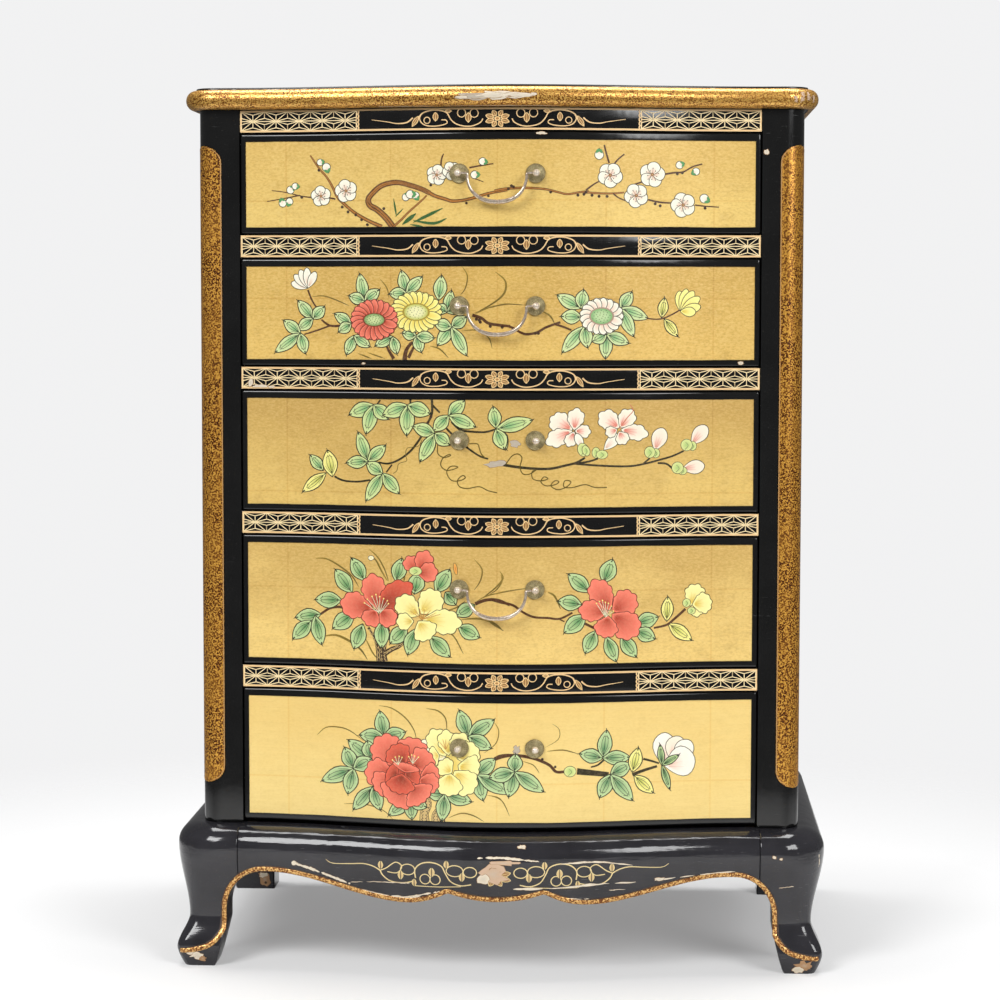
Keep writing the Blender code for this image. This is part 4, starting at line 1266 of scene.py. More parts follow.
def drawRow(pad, kind, tone, row):
    # one row of a spray, with its numbers in the order told beside the sprays
    if kind in ("twig", "limb", "bark", "stem", "trunk", "root"):
        drawWood(pad, kind, pairs(row[2:]), *row[:2])
    elif kind == "grass":
        # a brushed blade, thin at both ends and darker towards its foot
        pad.stroke(pairs(row[1:]), row[0] * 1.6, row[0] * 1.3, ink["grass"], ink["grassDark"], thinned=True)
    elif kind in ("tendril", "blade", "pistil"):
        pad.stroke(pairs(row[1:]), row[0] * 1.2, row[0] * 1.2, ink[kind], thinned=kind == "blade")
    elif kind == "knots":
        for spot in pairs(row[1:]):
            pad.dot(spot, row[0], ink["knot"], 7)
    elif kind in ("bud", "blossom"):
        (drawBud if kind == "bud" else drawBlossom)(pad, row[:2], *row[2:])
    elif kind == "daisy":
        centre, radii, eye = pairs(row[1:])
        drawDaisy(pad, centre, radii, row[0], eye, tone)
    elif kind == "oval":
        drawOval(pad, *pairs(row[1:]), row[0], tone)
    else:
        base, *tips = pairs(row if kind == "stamens" else row[1:])
        for tip in tips:
            if kind == "stamens":
                drawStamen(pad, base, tip, tone)
            else:
                (drawLeaf if kind == "leaf" else drawPetal)(pad, base, tip, row[0], tone)


# the sprays in millimetres from the middle of the field's lower edge, laid from back to front: a kind,
# with its tone, then rows. A path's row has its widths and then x and z by turns, a petal's its width, base
# and tips, a bud's or blossom's its centre, radius and turn, an oval's its turn, centre and radii, a daisy's
# its number of petals, centre, radii and the radii of its eye
sprays = {}
sprays[1] = [
    ("limb", (3.5, 1.4, -117, 0, -131, 6, -145, 14, -156, 23, -163, 30, -168, 40, -174, 50, -182, 59, -191, 72)),
    ("twig", (1.4, 0.7, -165, 28, -177, 30, -192, 30, -204, 32, -216, 35, -231, 37), (1.2, 0.7, -202, 32, -218, 29,
     -236, 26)),
    ("knots", (1.6, -158, 20, -152, 15, -144, 12, -138, 7, -132, 2, -200, 30, -182, 57, -115, 18)),
    ("bark", (5.9, 4.2, -106, 0, -113, 9, -122, 17, -129, 21, -131, 27, -127, 33, -117, 41, -102, 44, -88, 41, -76,
     37, -68, 33)),
    ("limb", (3.5, 2.4, -68, 33, -62, 30, -52, 27, -45, 25, -33, 26, -21, 29, -7, 33, 10, 36), (2.4, 1.7, -3, 35, 7,
     37, 25, 38, 46, 37, 60, 34, 70, 32, 82, 34, 91, 35), (2.1, 1.4, 87, 34, 101, 33, 115, 33, 126, 34)),
    ("twig", (1.4, 0.9, 115, 33, 120, 29, 127, 26), (1.7, 1, 88, 36, 96, 42, 105, 47), (1.7, 1.4, 111, 63, 108, 73,
     106, 81), (1.4, 1.2, 114, 60, 120, 67, 126, 72), (1.4, 1.4, 136, 42, 145, 45), (1.7, 1.2, 164, 52, 175, 54, 185,
     55, 194, 60, 204, 63), (1.6, 1.4, 150, 27, 159, 25, 168, 24, 176, 24), (1.4, 0.9, 197, 22, 206, 21, 221, 20)),
    ("limb", (2.1, 1.4, -105, 0, -97, 7, -90, 14, -83, 20, -76, 26, -71, 31)),
    ("twig", (1.7, 1, -57, 59, -56, 67, -54, 72), (1.6, 1, -28, 58, -17, 60, -4, 62), (1, 0.7, -25, 48, -14, 44)),
    ("knots", (1.4, -9, 30, -31, 23, -48, 63, -67, 41), (1.6, 11, 37, 14, 40, 16, 39, 53, 34, 80, 31, 86, 32, 88, 34,
     94, 31, 101, 30, 109, 30, 157, 23, 162, 21, 179, 53, 184, 54, 207, 19)),
    ("blade", (1.6, -102, 10, -105, 28), (1.2, -103, 10, -95, 18), (3.5, -96, 2, -82, 13), (2.8, -85, 4, -55, 18),
     (2.3, -85, 6, -64, 3, -51, 8), (1.6, -88, 2, -75, 0)),
    ("bud", (-180, 65, 3.8, 100), (-174, 59, 4.9, 20), (-211, 38, 4.5, 130), (-206, 41, 3.8, 80), (-220, 25, 4.5,
     200), (-213, 25, 4.2, 340), (-92, 30, 4.3, 150), (-82, 30, 4.3, 30), (-87, 32, 4.9, 90), (-14, 64, 4.3, 80),
     (-22, 51, 4.5, 90), (101, 72, 5.2, 180), (182, 62, 4.3, 110), (197, 55, 4.2, 300), (207, 28, 5.2, 60)),
    ("blossom", (-180, 31, 10.1, 80), (-154, 36, 11.3, 85), (-61, 51, 10.1, 60), (-46, 55, 9, 100), (112, 51, 12.2,
     40), (154, 52, 12.5, 60), (138, 31, 11.8, 100), (185, 22, 12.2, 20))]
sprays[2] = [
    ("grass", (0.9, -190, 63, -178, 64, -165, 60, -151, 54), (0.7, -119, 81, -112, 72, -110, 62), (0.9, -35, 93, -30,
     84, -32, 72, -37, 65), (1.4, -2, 88, 8, 79, 7, 67, -4, 57, -22, 47), (0.9, -7, 52, 7, 56, 28, 55), (0.9, -22,
     46, -7, 53, 12, 56), (1, -68, 14, -58, 11, -49, 2), (1, -36, 29, -21, 30, -9, 23, -5, 12), (1, -142, 6, -128,
     1), (1, -132, 7, -114, 1), (1.2, 45, 49, 53, 44, 57, 37)),
    ("twig", (1.6, 1.4, -194, 70, -190, 60, -185, 52), (2.3, 1.6, -157, 34, -171, 34, -180, 40), (1.6, 1.2, -171, 34,
     -185, 29, -198, 25), (4.2, 2.4, -94, 0, -92, 10, -86, 18), (2.8, 2.1, -90, 2, -84, 14), (3.1, 1.7, -105, 1,
     -110, 9, -113, 15), (2.8, 2.3, -25, 45, -16, 42, -9, 37, 2, 35, 13, 34), (2.1, 2.1, -3, 36, 4, 35, 14, 33, 23,
     28, 30, 26, 40, 28, 49, 33, 63, 38), (2.1, 1.6, 58, 36, 67, 33, 74, 30)),
    ("knots", (1.7, -21, 41, -18, 40, -17, 38, -7, 34, 5, 33), (1.7, 5, 33, 38, 27, 41, 27)),
    ("leaf pale", (11.5, -189, 41, -204, 59, -177, 53, -204, 30), (11.5, -202, 26, -219, 39, -228, 7, -197, 6),
     (10.8, -149, 36, -166, 46, -162, 28), (11.5, -135, 59, -140, 86, -151, 64, -120, 70), (10.8, -146, 24, -154, 5,
     -130, 13), (11.5, -92, 67, -97, 89, -76, 83, -109, 66), (12.9, -59, 60, -56, 84), (10.8, -51, 48, -46, 69, -35,
     55, -61, 54), (10.4, -106, 23, -124, 14, -102, 6), (11.1, -82, 24, -77, 8, -96, 27, -64, 22), (12.2, -46, 33,
     -31, 43, -60, 15, -31, 5, -63, 37)),
    ("daisy yellow", (22, -82, 48, 26.4, 20.5, 12.2, 7.8)),
    ("daisy red", (20, -125, 40, 24.4, 20.5, 10.4, 6.1)),
    ("petal white", (7.7, -194, 72, -211, 77, -208, 85, -202, 90, -195, 92, -186, 88)),
    ("leaf pale", (12.9, 83, 52, 60, 65, 86, 70), (13.9, 84, 43, 64, 44), (12.9, 87, 34, 65, 8, 90, 13), (12.2, 109,
     26, 108, 2, 95, 19, 131, 17), (12.2, 123, 52, 134, 68, 150, 42, 136, 24)),
    ("daisy white", (17, 104, 44, 21.8, 18.3, 10.8, 7.8)),
    ("twig", (1.2, 1.2, 149, 42, 158, 41, 166, 42, 175, 46, 182, 50)),
    ("leaf lemon", (9.4, 164, 43, 167, 62), (9.4, 167, 41, 180, 24)),
    ("petal yellow", (9, 183, 49, 182, 69, 189, 71, 196, 69, 202, 63, 203, 54, 198, 48))]
sprays[3] = [
    ("stem", (1.7, 1.2, -66, 108, -66, 94, -71, 83, -78, 69, -88, 56, -100, 47, -111, 43, -121, 44), (1.4, 1.2, -167,
     29, -158, 25, -143, 24, -130, 26), (1, 1, -107, 42, -113, 34), (1.4, 1.2, -65, 102, -58, 95), (1.6, 1.2, -46,
     86, -37, 78, -23, 76, -11, 76, -1, 79), (1.4, 1.2, -51, 79, -42, 70, -30, 60, -18, 52, -9, 49), (1.2, 1, -119,
     107, -123, 102), (1.6, 1.2, -88, 108, -88, 104)),
    ("knots", (1.6, -67, 91, -70, 85, -71, 83)),
    ("tendril", (0.9, -60, 63, -60, 54, -54, 50, -47, 52, -49, 53, -55, 49, -57, 42, -51, 37, -42, 39, -40, 41, -47,
     41, -51, 35, -46, 27, -37, 27, -32, 30, -35, 32, -40, 27, -38, 21, -30, 19, -18, 21, -9, 17, 0, 15), (0.9, -28,
     64, -20, 64, -18, 60, -16, 54, -12, 50), (0.5, -76, 68, -80, 61, -91, 59, -93, 52, -92, 46, -100, 43, -102, 36,
     -106, 33)),
    ("stem", (1.9, 1.4, 6, 43, 28, 40, 51, 39, 67, 42, 79, 45, 88, 50), (1.4, 1.2, 77, 44, 91, 46, 101, 49), (1.4,
     1.2, 79, 44, 102, 42, 130, 41, 146, 43, 162, 47, 176, 51, 187, 56), (1.2, 1.2, 146, 43, 153, 49), (1.4, 1.2,
     161, 44, 170, 43, 177, 37)),
    ("tendril", (0.9, 9, 44, 15, 52, 21, 54, 25, 50, 23, 41, 26, 34, 33, 34, 39, 38, 35, 36, 36, 29, 44, 27, 51, 29,
     47, 31, 44, 26, 49, 22, 58, 23, 62, 26, 58, 27, 54, 22, 61, 18, 70, 21, 74, 26, 68, 27, 67, 21, 75, 20, 88, 23,
     98, 20, 110, 20)),
    ("leaf vine", (14.3, -126, 102, -151, 92, -134, 73, -111, 88), (14.6, -91, 102, -116, 92, -92, 72, -68, 94),
     (13.2, -49, 92, -33, 107, -22, 81, -64, 77), (13.2, -63, 74, -85, 81, -78, 46, -48, 63), (12.2, -132, 45, -142,
     74, -114, 61, -154, 43), (12.9, -117, 33, -134, 5, -100, 13, -133, 43), (10.8, -179, 35, -192, 50)),
    ("leaf lemon", (11.5, -176, 32, -200, 13), (14.6, -169, 29, -174, 55)),
    ("leaf vine", (12.5, -1, 80, -4, 101, 9, 59), (13.9, -1, 79, 35, 88, 7, 59)),
    ("petal trumpet", (20.9, 75, 78, 54, 90), (16.7, 75, 77, 50, 65), (16, 77, 78, 80, 99), (11.5, 77, 76, 71, 62),
     (12.5, 78, 77, 93, 76)),
    ("petal white", (7.7, 86, 59, 79, 74)),
    ("oval calyx", (20, 86, 58, 5.2, 6.6), (20, 89, 57, 3.5, 5.2)),
    ("petal white", (10.8, 107, 58, 122, 73)),
    ("petal trumpet", (18.8, 122, 80, 103, 94), (16.7, 123, 80, 135, 97), (15.3, 124, 78, 150, 73), (10.8, 120, 78,
     109, 74), (13.2, 122, 76, 128, 64)),
    ("oval calyx", (0, 99, 55, 3.8, 5.2), (0, 105, 53, 5.6, 4.2)),
    ("pistil", (0.7, 122, 79, 131, 91, 136, 97, 133, 103)),
    ("petal blush", (15.3, 158, 57, 166, 79)),
    ("oval calyx", (0, 159, 54, 3.8, 4.5), (0, 153, 55, 5.2, 5.6)),
    ("petal blush", (14.6, 195, 63, 210, 81)),
    ("oval calyx", (0, 196, 61, 3.8, 4.5), (0, 190, 62, 5.6, 5.7)),
    ("petal blush", (13.6, 186, 38, 208, 41)),
    ("oval calyx", (0, 186, 36, 4.5, 3.8), (0, 181, 39, 5.7, 5.7))]
sprays[4] = [
    ("grass", (1.2, -187, 103, -176, 103, -162, 96, -149, 86, -142, 75), (1.7, -180, 23, -166, 25, -151, 19, -140,
     11, -133, 1), (1, -131, 114, -122, 106, -115, 94, -111, 82), (1.2, -112, 82, -118, 92, -124, 103, -128, 105),
     (1.4, -95, 82, -94, 89), (1, -23, 106, -15, 96, -17, 84, -23, 75), (1.2, 3, 94, 6, 87, -2, 77, -16, 66), (1.6,
     -36, 45, -16, 46, -2, 41, 6, 34), (1, -57, 35, -44, 28, -34, 10), (0.9, -20, 64, -8, 70, 13, 74), (1, -56, 52,
     -41, 57, -32, 64), (1, -135, 23, -128, 9, -122, 2), (1, 4, 91, 5, 84, 0, 76, -7, 71), (0.9, -4, 71, 10, 74, 30,
     77), (1.4, 51, 73, 58, 69, 64, 56), (0.9, -7, 42, 7, 34)),
    ("twig", (2.1, 2.4, -182, 46, -173, 52, -164, 54, -155, 53)),
    ("trunk", (7.5, 4.5, -116, 0, -117, 8, -116, 18, -111, 27), (4.6, 2.2, -121, 0, -122, 12, -125, 23, -132, 34),
     (5, 2.4, -115, 8, -107, 13, -100, 16, -92, 23), (2.6, 1.6, -104, 14, -98, 21)),
    ("twig", (1.7, 1.4, -110, 31, -112, 38), (3.1, 2.3, -22, 61, -11, 65, 1, 65, 13, 60), (2.3, 1.7, -7, 66, 3, 63,
     16, 60, 26, 53, 37, 48, 51, 47, 63, 46, 76, 52), (1.2, 1, 62, 46, 68, 43), (2.4, 2.1, 88, 41, 98, 36)),
    ("leaf deep", (16, -160, 61, -187, 61), (15.7, -149, 69, -166, 92), (14.6, -136, 82, -149, 104), (15, -103, 82,
     -97, 105), (16.4, -84, 70, -80, 91), (16, -62, 72, -48, 95), (16.7, -147, 48, -169, 32), (13.9, -182, 46, -208,
     42), (14.6, -192, 39, -211, 20), (13.9, -188, 44, -181, 15), (15.3, -138, 37, -147, 12), (15, -118, 41, -118,
     14), (15.7, -92, 36, -109, 19), (15.3, -83, 34, -91, 8), (15.7, -68, 27, -48, 7), (15, -39, 38, -18, 27), (13.2,
     -52, 72, -42, 60), (13.6, -23, 60, -41, 49)),
    ("petal red", (16, -83, 92, -91, 107), (18.1, -79, 92, -71, 113), (19.1, -81, 91, -61, 93)),
    ("oval calyx", (0, -83, 93, 6.3, 4.2)),
    ("petal red", (26.1, -127, 53, -160, 59), (24.4, -124, 54, -128, 88)),
    ("petal redDark", (26.1, -124, 52, -88, 79)),
    ("petal red", (19.5, -124, 52, -133, 37), (19.1, -120, 52, -105, 39)),
    ("stamens cream", (-120, 49, -136, 59, -133, 63, -128, 66, -124, 68, -120, 66, -116, 64, -112, 62, -111, 59)),
    ("petal lemonPetal", (23, -79, 48, -102, 64), (25.2, -78, 50, -59, 72), (16.7, -85, 42, -102, 41), (24.4, -76,
     44, -37, 41), (24.4, -80, 42, -68, 25)),
    ("stamens amber", (-76, 44, -89, 53, -85, 55, -79, 56, -73, 55, -67, 54, -62, 51, -57, 50)),
    ("oval amber", (10, -42, 96, 1.7, 5.9)),
    ("oval cream", (0, -129, 105, 2.8, 2.1)),
    ("leaf deep", (15, 85, 60, 62, 64), (16, 89, 49, 68, 32), (15, 93, 73, 72, 91), (16.4, 107, 82, 116, 105), (14.3,
     99, 33, 89, 11), (13.2, 110, 27, 120, 2), (14.3, 125, 27, 140, 6), (15.3, 140, 40, 162, 46), (14.6, 140, 33,
     159, 24)),
    ("petal red", (23, 114, 54, 97, 84), (20.9, 112, 52, 83, 55), (25.4, 116, 53, 139, 68), (27.8, 116, 50, 141, 29),
     (23, 112, 48, 108, 27)),
    ("stamens cream", (109, 47, 100, 61, 103, 63, 106, 64, 109, 62, 112, 61, 115, 58, 117, 53)),
    ("leaf lemon", (11.5, 171, 42, 172, 66), (12.9, 173, 39, 196, 22)),
    ("twig", (1.7, 2.3, 158, 35, 171, 38, 180, 45, 190, 54)),
    ("petal lemonPetal", (20.2, 195, 57, 203, 78), (15, 196, 57, 207, 50), (20.2, 197, 58, 216, 61)),
    ("oval calyx", (0, 191, 60, 3.8, 4.2), (0, 196, 52, 3.8, 3.5))]
sprays[5] = [
    ("grass", (0.9, -186, 83, -177, 91, -164, 92, -152, 89, -137, 79), (0.9, -121, 116, -108, 114, -94, 105, -85, 93,
     -82, 82), (1, -72, 115, -60, 113, -52, 105, -51, 91), (0.7, -3, 103, 2, 94, -1, 81, -13, 71), (0.9, -49, 4, -36,
     9, -24, 7, -13, 1), (0.7, -158, 13, -138, 14, -118, 9, -107, 0), (0.7, -10, 28, 3, 25, 11, 13), (0.5, 49, 77,
     62, 85, 63, 95, 56, 101), (0.9, 51, 73, 67, 74, 82, 70), (0.7, -8, 28, 5, 23, 13, 7), (0.7, 26, 63, 37, 59, 43,
     51)),
    ("twig", (3.5, 3, -2, 65, 4, 68, 13, 69), (3, 2.4, -2, 65, 7, 68, 16, 69, 28, 68, 40, 65, 53, 59, 60, 52, 69,
     52)),
    ("root", (9, 5, -74, 0, -74, 8, -70, 17, -72, 24), (8, 4.5, -62, -1, -62, 7, -56, 14, -50, 20)),
    ("trunk", (4.6, 2.4, -55, -2, -55, 6, -52, 12)),
    ("knots", (1.4, 59, 57, 46, 65)),
    ("stem", (4.5, 3.1, 81, 52, 97, 50, 113, 48), (1.4, 1, 108, 63, 102, 58, 95, 56), (2.3, 1.6, 137, 47, 148, 51,
     162, 55), (1.6, 1.2, 148, 63, 155, 61, 164, 58)),
    ("leaf teal", (14.6, -116, 84, -120, 110, -141, 85, -94, 90), (14.6, -130, 61, -153, 79, -133, 79), (15, -148,
     50, -157, 71, -181, 36, -154, 24, -129, 61), (13.6, -128, 32, -148, 8, -120, 9), (12.9, -89, 21, -111, 4, -87,
     1, -72, 14), (14.3, -53, 28, -71, 29, -26, 21, -56, 1), (14.6, -29, 88, -38, 114, -3, 105, -6, 76), (14.6, -20,
     49, -2, 65, -14, 23, 12, 30)),
    ("oval lemonPetal", (0, -47, 58, 21, 26)),
    ("petal cream", (21.9, -52, 64, -76, 81)),
    ("petal lemonPetal", (22.6, -52, 67, -66, 93), (18.1, -49, 68, -52, 93), (19.1, -45, 68, -33, 90), (24.4, -40,
     65, -19, 75), (19.1, -59, 68, -68, 66), (29.6, -39, 58, -19, 51), (27.8, -43, 52, -25, 31), (20.9, -52, 50, -63,
     38), (26.1, -48, 50, -49, 27), (19.1, -46, 50, -58, 61)),
    ("stamens amber", (-52, 74, -59, 82, -55, 84, -52, 84, -48, 82)),
    ("oval red", (0, -95, 49, 28, 25)),
    ("petal red", (33.1, -100, 57, -124, 82), (33.1, -87, 58, -90, 84), (27.8, -85, 54, -67, 68)),
    ("petal redDark", (26.1, -94, 56, -107, 75)),
    ("petal red", (29.6, -105, 46, -135, 47), (26.1, -78, 46, -59, 46), (27.8, -105, 43, -125, 30), (20.9, -80, 42,
     -60, 36), (34.8, -96, 34, -110, 18), (31.3, -87, 35, -74, 20)),
    ("petal redDark", (22.6, -102, 45, -112, 50), (22.6, -94, 45, -80, 51), (27.8, -97, 47, -100, 27)),
    ("petal red", (26.1, -94, 49, -92, 58)),
    ("stamens cream", (-101, 56, -107, 61, -104, 64, -100, 65, -97, 64), (-86, 58, -90, 65, -87, 67, -84, 66, -80,
     65)),
    ("leaf teal", (14.6, 18, 52, 19, 70, 12, 27, 47, 32, -7, 46), (13.9, 107, 65, 111, 93, 84, 70, 134, 65), (14.6,
     115, 48, 135, 58, 104, 25, 137, 21)),
    ("oval calyx", (0, 74, 52, 5.9, 5.2)),
    ("leaf lemon", (12.9, 137, 50, 143, 74), (12.5, 139, 46, 158, 28)),
    ("petal shell", (22.6, 168, 57, 170, 89)),
    ("petal blush", (20.9, 177, 60, 184, 85)),
    ("petal shell", (19.1, 180, 60, 196, 80), (30.6, 170, 55, 200, 63)),
    ("leaf deep", (5.9, 167, 56, 165, 77), (6.3, 167, 56, 184, 66), (6.3, 167, 56, 175, 31))]


# each drawer's spray, painted on its gold
def makeSpray(number):
    low = fieldHeights(number)[0]
    pad = Painter(lambda x, z, lift: onBow(x * mm, low + z * mm, lift - front["recess"]))
    for name, *rows in sprays[number]:
        kind, _, tone = name.partition(" ")
        for row in rows:
            drawRow(pad, kind, tone, row)
    pad.piece(f"spray_{number}", f"drawer_{number}", enamel, "gold_leaf")
    print("spray", number, len(pad.shapes), "shapes")


# rails: cream-gold lines, a lattice of stars at both ends, a vine between
lineTone, vineTone = fromSrgb((233, 196, 142)), fromSrgb((226, 204, 148))
paleGold, deepGold = fromSrgb((244, 208, 148)), fromSrgb((176, 122, 58))
blackTone, starTone, knotTone = fromSrgb((16, 15, 15)), fromSrgb((248, 224, 174)), fromSrgb((250, 232, 184))
band = {"line": 1.9, "inset": 0.4, "endGap": 0.8, "latticeReach": 121.0, "stars": 5, "thin": 0.8, "deep": 0.3,
        "raised": 0.05, "latticeStart": 0.4, "latticeSpare": 1.6, "scallops": 5, "vineShare": 0.93, "waver": 0.12,
        "waverScale": 0.06, "outerEnd": 0.9, "innerEnd": 0.8, "scallopDeep": 1.7, "scallopLine": 1.3, "knot": 1.2,
        "knotWide": 1.1, "starEdge": 0.5}
starPitch = (band["latticeReach"] - band["latticeSpare"]) / band["stars"]


def latticeCell(pitch, rise):
    # the edges of one cell of a lattice of six-pointed stars, lying flat
    middle = (pitch / 2, 0)
    corners = [(0, rise), (pitch, rise), (0, -rise), (pitch, -rise)]
    edges = [(middle, corner) for corner in corners] + [(middle, (0, 0)), (middle, (pitch, 0))]
    for up in (1, -1):
        peak = (pitch / 2, up * rise * 2 / 3)
        edges += [(peak, middle), (peak, (0, up * rise)), (peak, (pitch, up * rise))]
        for x in (0, pitch):
            side = (x, up * rise / 3)
            edges += [(side, middle), (side, (x, up * rise))]
    return edges


def makeLatticeTree():
    # repeats a cell of loose edges along X and gives each edge the section of a painted line
    tree = bpy.data.node_groups.new("starLattice", "GeometryNodeTree")
    tree.interface.new_socket("Geometry", in_out="INPUT", socket_type="NodeSocketGeometry")
    for socket, value in (("Stars", 5), ("Pitch", 0.024), ("Line Width", 0.0007), ("Line Depth", 0.0003)):
        kind = "NodeSocketInt" if isinstance(value, int) else "NodeSocketFloat"
        tree.interface.new_socket(socket, in_out="INPUT", socket_type=kind).default_value = value
    tree.interface.new_socket("Geometry", in_out="OUTPUT", socket_type="NodeSocketGeometry")
    given, made = tree.nodes.new("NodeGroupInput").outputs, tree.nodes.new("NodeGroupOutput")
    step = addNode(tree, "ShaderNodeCombineXYZ", {"X": given["Pitch"]}).outputs[0]
    row = addNode(tree, "GeometryNodeMeshLine", {"Count": given["Stars"], "Offset": step}).outputs["Mesh"]
    repeat = addNode(tree, "GeometryNodeInstanceOnPoints", {"Points": row, "Instance": given["Geometry"]})
    real = addNode(tree, "GeometryNodeRealizeInstances", {"Geometry": repeat.outputs["Instances"]})
    lines = addNode(tree, "GeometryNodeMeshToCurve", {"Mesh": real.outputs["Geometry"]})
    divided = addNode(tree, "GeometryNodeResampleCurve", {"Curve": lines.outputs["Curve"], "Count": 3})
    section = addNode(tree, "GeometryNodeCurvePrimitiveQuadrilateral",
                      {"Width": given["Line Width"], "Height": given["Line Depth"]})
    ribs = addNode(tree, "GeometryNodeCurveToMesh",
                   {"Curve": divided.outputs["Curve"], "Profile Curve": section.outputs["Curve"], "Fill Caps": True})
    painted = addNode(tree, "GeometryNodeSetMaterial", {"Geometry": ribs.outputs["Mesh"], "Material": linePaint})
    setInput(tree, made.inputs["Geometry"], painted.outputs["Geometry"])
    return tree


def treeToMesh(tree, source, values):
    # runs a node tree over an object and returns a plain mesh
    maker = source.modifiers.new("maker", "NODES")
    maker.node_group = tree
    for item in tree.interface.items_tree:
        if item.in_out == "INPUT" and item.name in values:
            maker[item.identifier] = values[item.name]
    bpy.context.view_layer.update()
    shown = source.evaluated_get(bpy.context.evaluated_depsgraph_get())
    mesh = bpy.data.meshes.new_from_object(shown)
    source.modifiers.remove(maker)
    bpy.data.objects.remove(source)
    return mesh


def latticeMesh(pitch, rise):
    points, edges = [], []
    for a, b in latticeCell(pitch, rise):
        edges.append((len(points), len(points) + 1))
        points += [(*a, 0), (*b, 0)]
    mesh = bpy.data.meshes.new("cell")
    mesh.from_pydata(points, edges, [])
    cell = bpy.data.objects.new("cell", mesh)
    bpy.context.scene.collection.objects.link(cell)
    return treeToMesh(latticeTree, cell, {"Stars": band["stars"], "Pitch": pitch, "Line Width": band["thin"] * mm,
                                          "Line Depth": band["deep"] * mm})


def mirrored(points, side, scale=1.0):
    return [(side * x, z * scale) for x, z in points]


def outlinedLeaf(pad, base, tip, width, tone, fill):
    pad.slab(leafOutline(base, tip, width, 0.0, 0.5, 0.6, 7), tone)
    along = spun(base, tip)[0]
    inner, end = beside(base, along, 0.8), beside(tip, along, -0.9)
    pad.slab(leafOutline(inner, end, width - 1.5, 0.0, 0.5, 0.6, 7), fill)
    pad.stroke([inner, end], 0.9, 0.4, mixed(tone, fill, 0.25))


def ringStroke(pad, centre, radius, width, tone):
    pad.stroke(ellipse(centre, radius, 12), width, width, tone, steps=2)


def drawRosette(pad, centre, near, far, width, tone, fill):
    for step in range(8):
        a = fullTurn * (step + 0.5) / 8
        outlinedLeaf(pad, around(centre, near, a), around(centre, far, a), width, tone, fill)


# the vine's right half, millimetres from its flower, for a band 20.5 high
vine = {"tail": [(127, 0), (110, -2.4), (101, -4), (91, -3), (85, 1.3)],
        "arc": [(81, -3.7), (76.5, 4.6), (68, 8), (59, 8.3), (51, 6), (47, 0), (42, -4.6), (34, -7), (25, -7),
                (17, -3.7), (14.5, 0)],
        "scroll": [(76.5, 4.6), (78, 0), (75, -4.6), (68, -6.8), (58, -6.5), (50.6, -4.3), (51.5, -1.3), (56, -1)],
        "leaves": [((86, -7.4), (79, 3), 5), ((62, -2.5), (62, 6.5), 6), ((45.5, 7.4), (52.5, 7.4), 4),
                   ((29, -4), (29, 6), 6.5)],
        "rings": [((70.6, -1.3), 3), ((35.8, 5.5), 4), ((23.2, 5.2), 4)], "high": 20.5,
        "widths": {"tail": (0.5, 1.6), "arc": (1.3, 1.1), "scroll": (1.1, 1.0)}, "ringLine": 0.9,
        "flower": (3.2, 2.2, 13, 8.6, 5.4), "eye": (2.2, 1.2), "eyeWide": 1.4}


def makeRailPaint(number):
    low, high = railHeights(number)
    middle, tall = (low + high) / 2, (high - low) / mm
    pad = Painter(lambda x, z, lift: onBow(x * mm, middle + z * mm, lift))
    reach = (halfOpening - gap) / mm - band["endGap"]
    edge = tall / 2 - band["inset"] - band["line"] / 2

    def line(path, start, end, **settings):
        pad.stroke(path, start, end, lineTone, **settings)

    for z in (edge, -edge):
        line([(x, z + band["waver"] * noise.noise((x * band["waverScale"], z, number)))
              for x in stepsBetween(-reach, reach, 60)], band["line"], band["line"], steps=1)
    for side in (-1, 1):
        inner = side * (reach - band["latticeReach"])
        outerX, innerX = side * (reach - band["outerEnd"]), inner + side * band["innerEnd"]
        line([(outerX, -edge), (outerX, 0), (outerX, edge)], band["line"], band["line"])
        # the lattice's inner end is scalloped
        half = edge / band["scallops"]
        for step in range(band["scallops"]):
            z = -edge + 2 * edge * (step + 0.5) / band["scallops"]
            arc = [(inner - side * band["scallopDeep"] * math.cos(a), z + half * math.sin(a))
                   for a in stepsBetween(-quarter, quarter, 4)]
            line(arc, band["scallopLine"], band["scallopLine"], steps=2)
        line([(innerX, -edge), (innerX, 0), (innerX, edge)], band["thin"], band["thin"])
    scale = tall / vine["high"] * band["vineShare"]
    dark = mixed(deepGold, blackTone, 0.35)
    for side in (-1, 1):
        for name, widths in vine["widths"].items():
            line(mirrored(vine[name], side, scale), *widths)
        for centre, radius in vine["rings"]:
            ringStroke(pad, (side * centre[0], centre[1] * scale), radius * scale, vine["ringLine"], lineTone)
        for base, tip, width in vine["leaves"]:
            outlinedLeaf(pad, *mirrored((base, tip), side, scale), width, paleGold, dark)
    nearX, nearZ, farX, farZ, wide = vine["flower"]
    drawRosette(pad, (0, 0), (nearX, nearZ * scale), (farX, farZ * scale), wide, paleGold, dark)
    for radius, tone, sides in zip(vine["eye"], (paleGold, deepGold), (10, 8)):
        pad.dot((0, 0), radius, tone, sides, stretch=vine["eyeWide"])
    # a bright knot where the lines of each star meet
    latticeStart = reach - band["latticeReach"] + band["latticeStart"]
    for side in (-1, 1):
        for star in range(band["stars"]):
            pad.dot((side * (latticeStart + starPitch * (star + 0.5)), 0), band["knot"], knotTone, 8,
                    stretch=band["knotWide"])
    pad.piece(f"rail_lines_{number}", "chest", linePaint, "gilt_speckle")
    makeRailStars(number, middle, edge - band["starEdge"], latticeStart * mm)


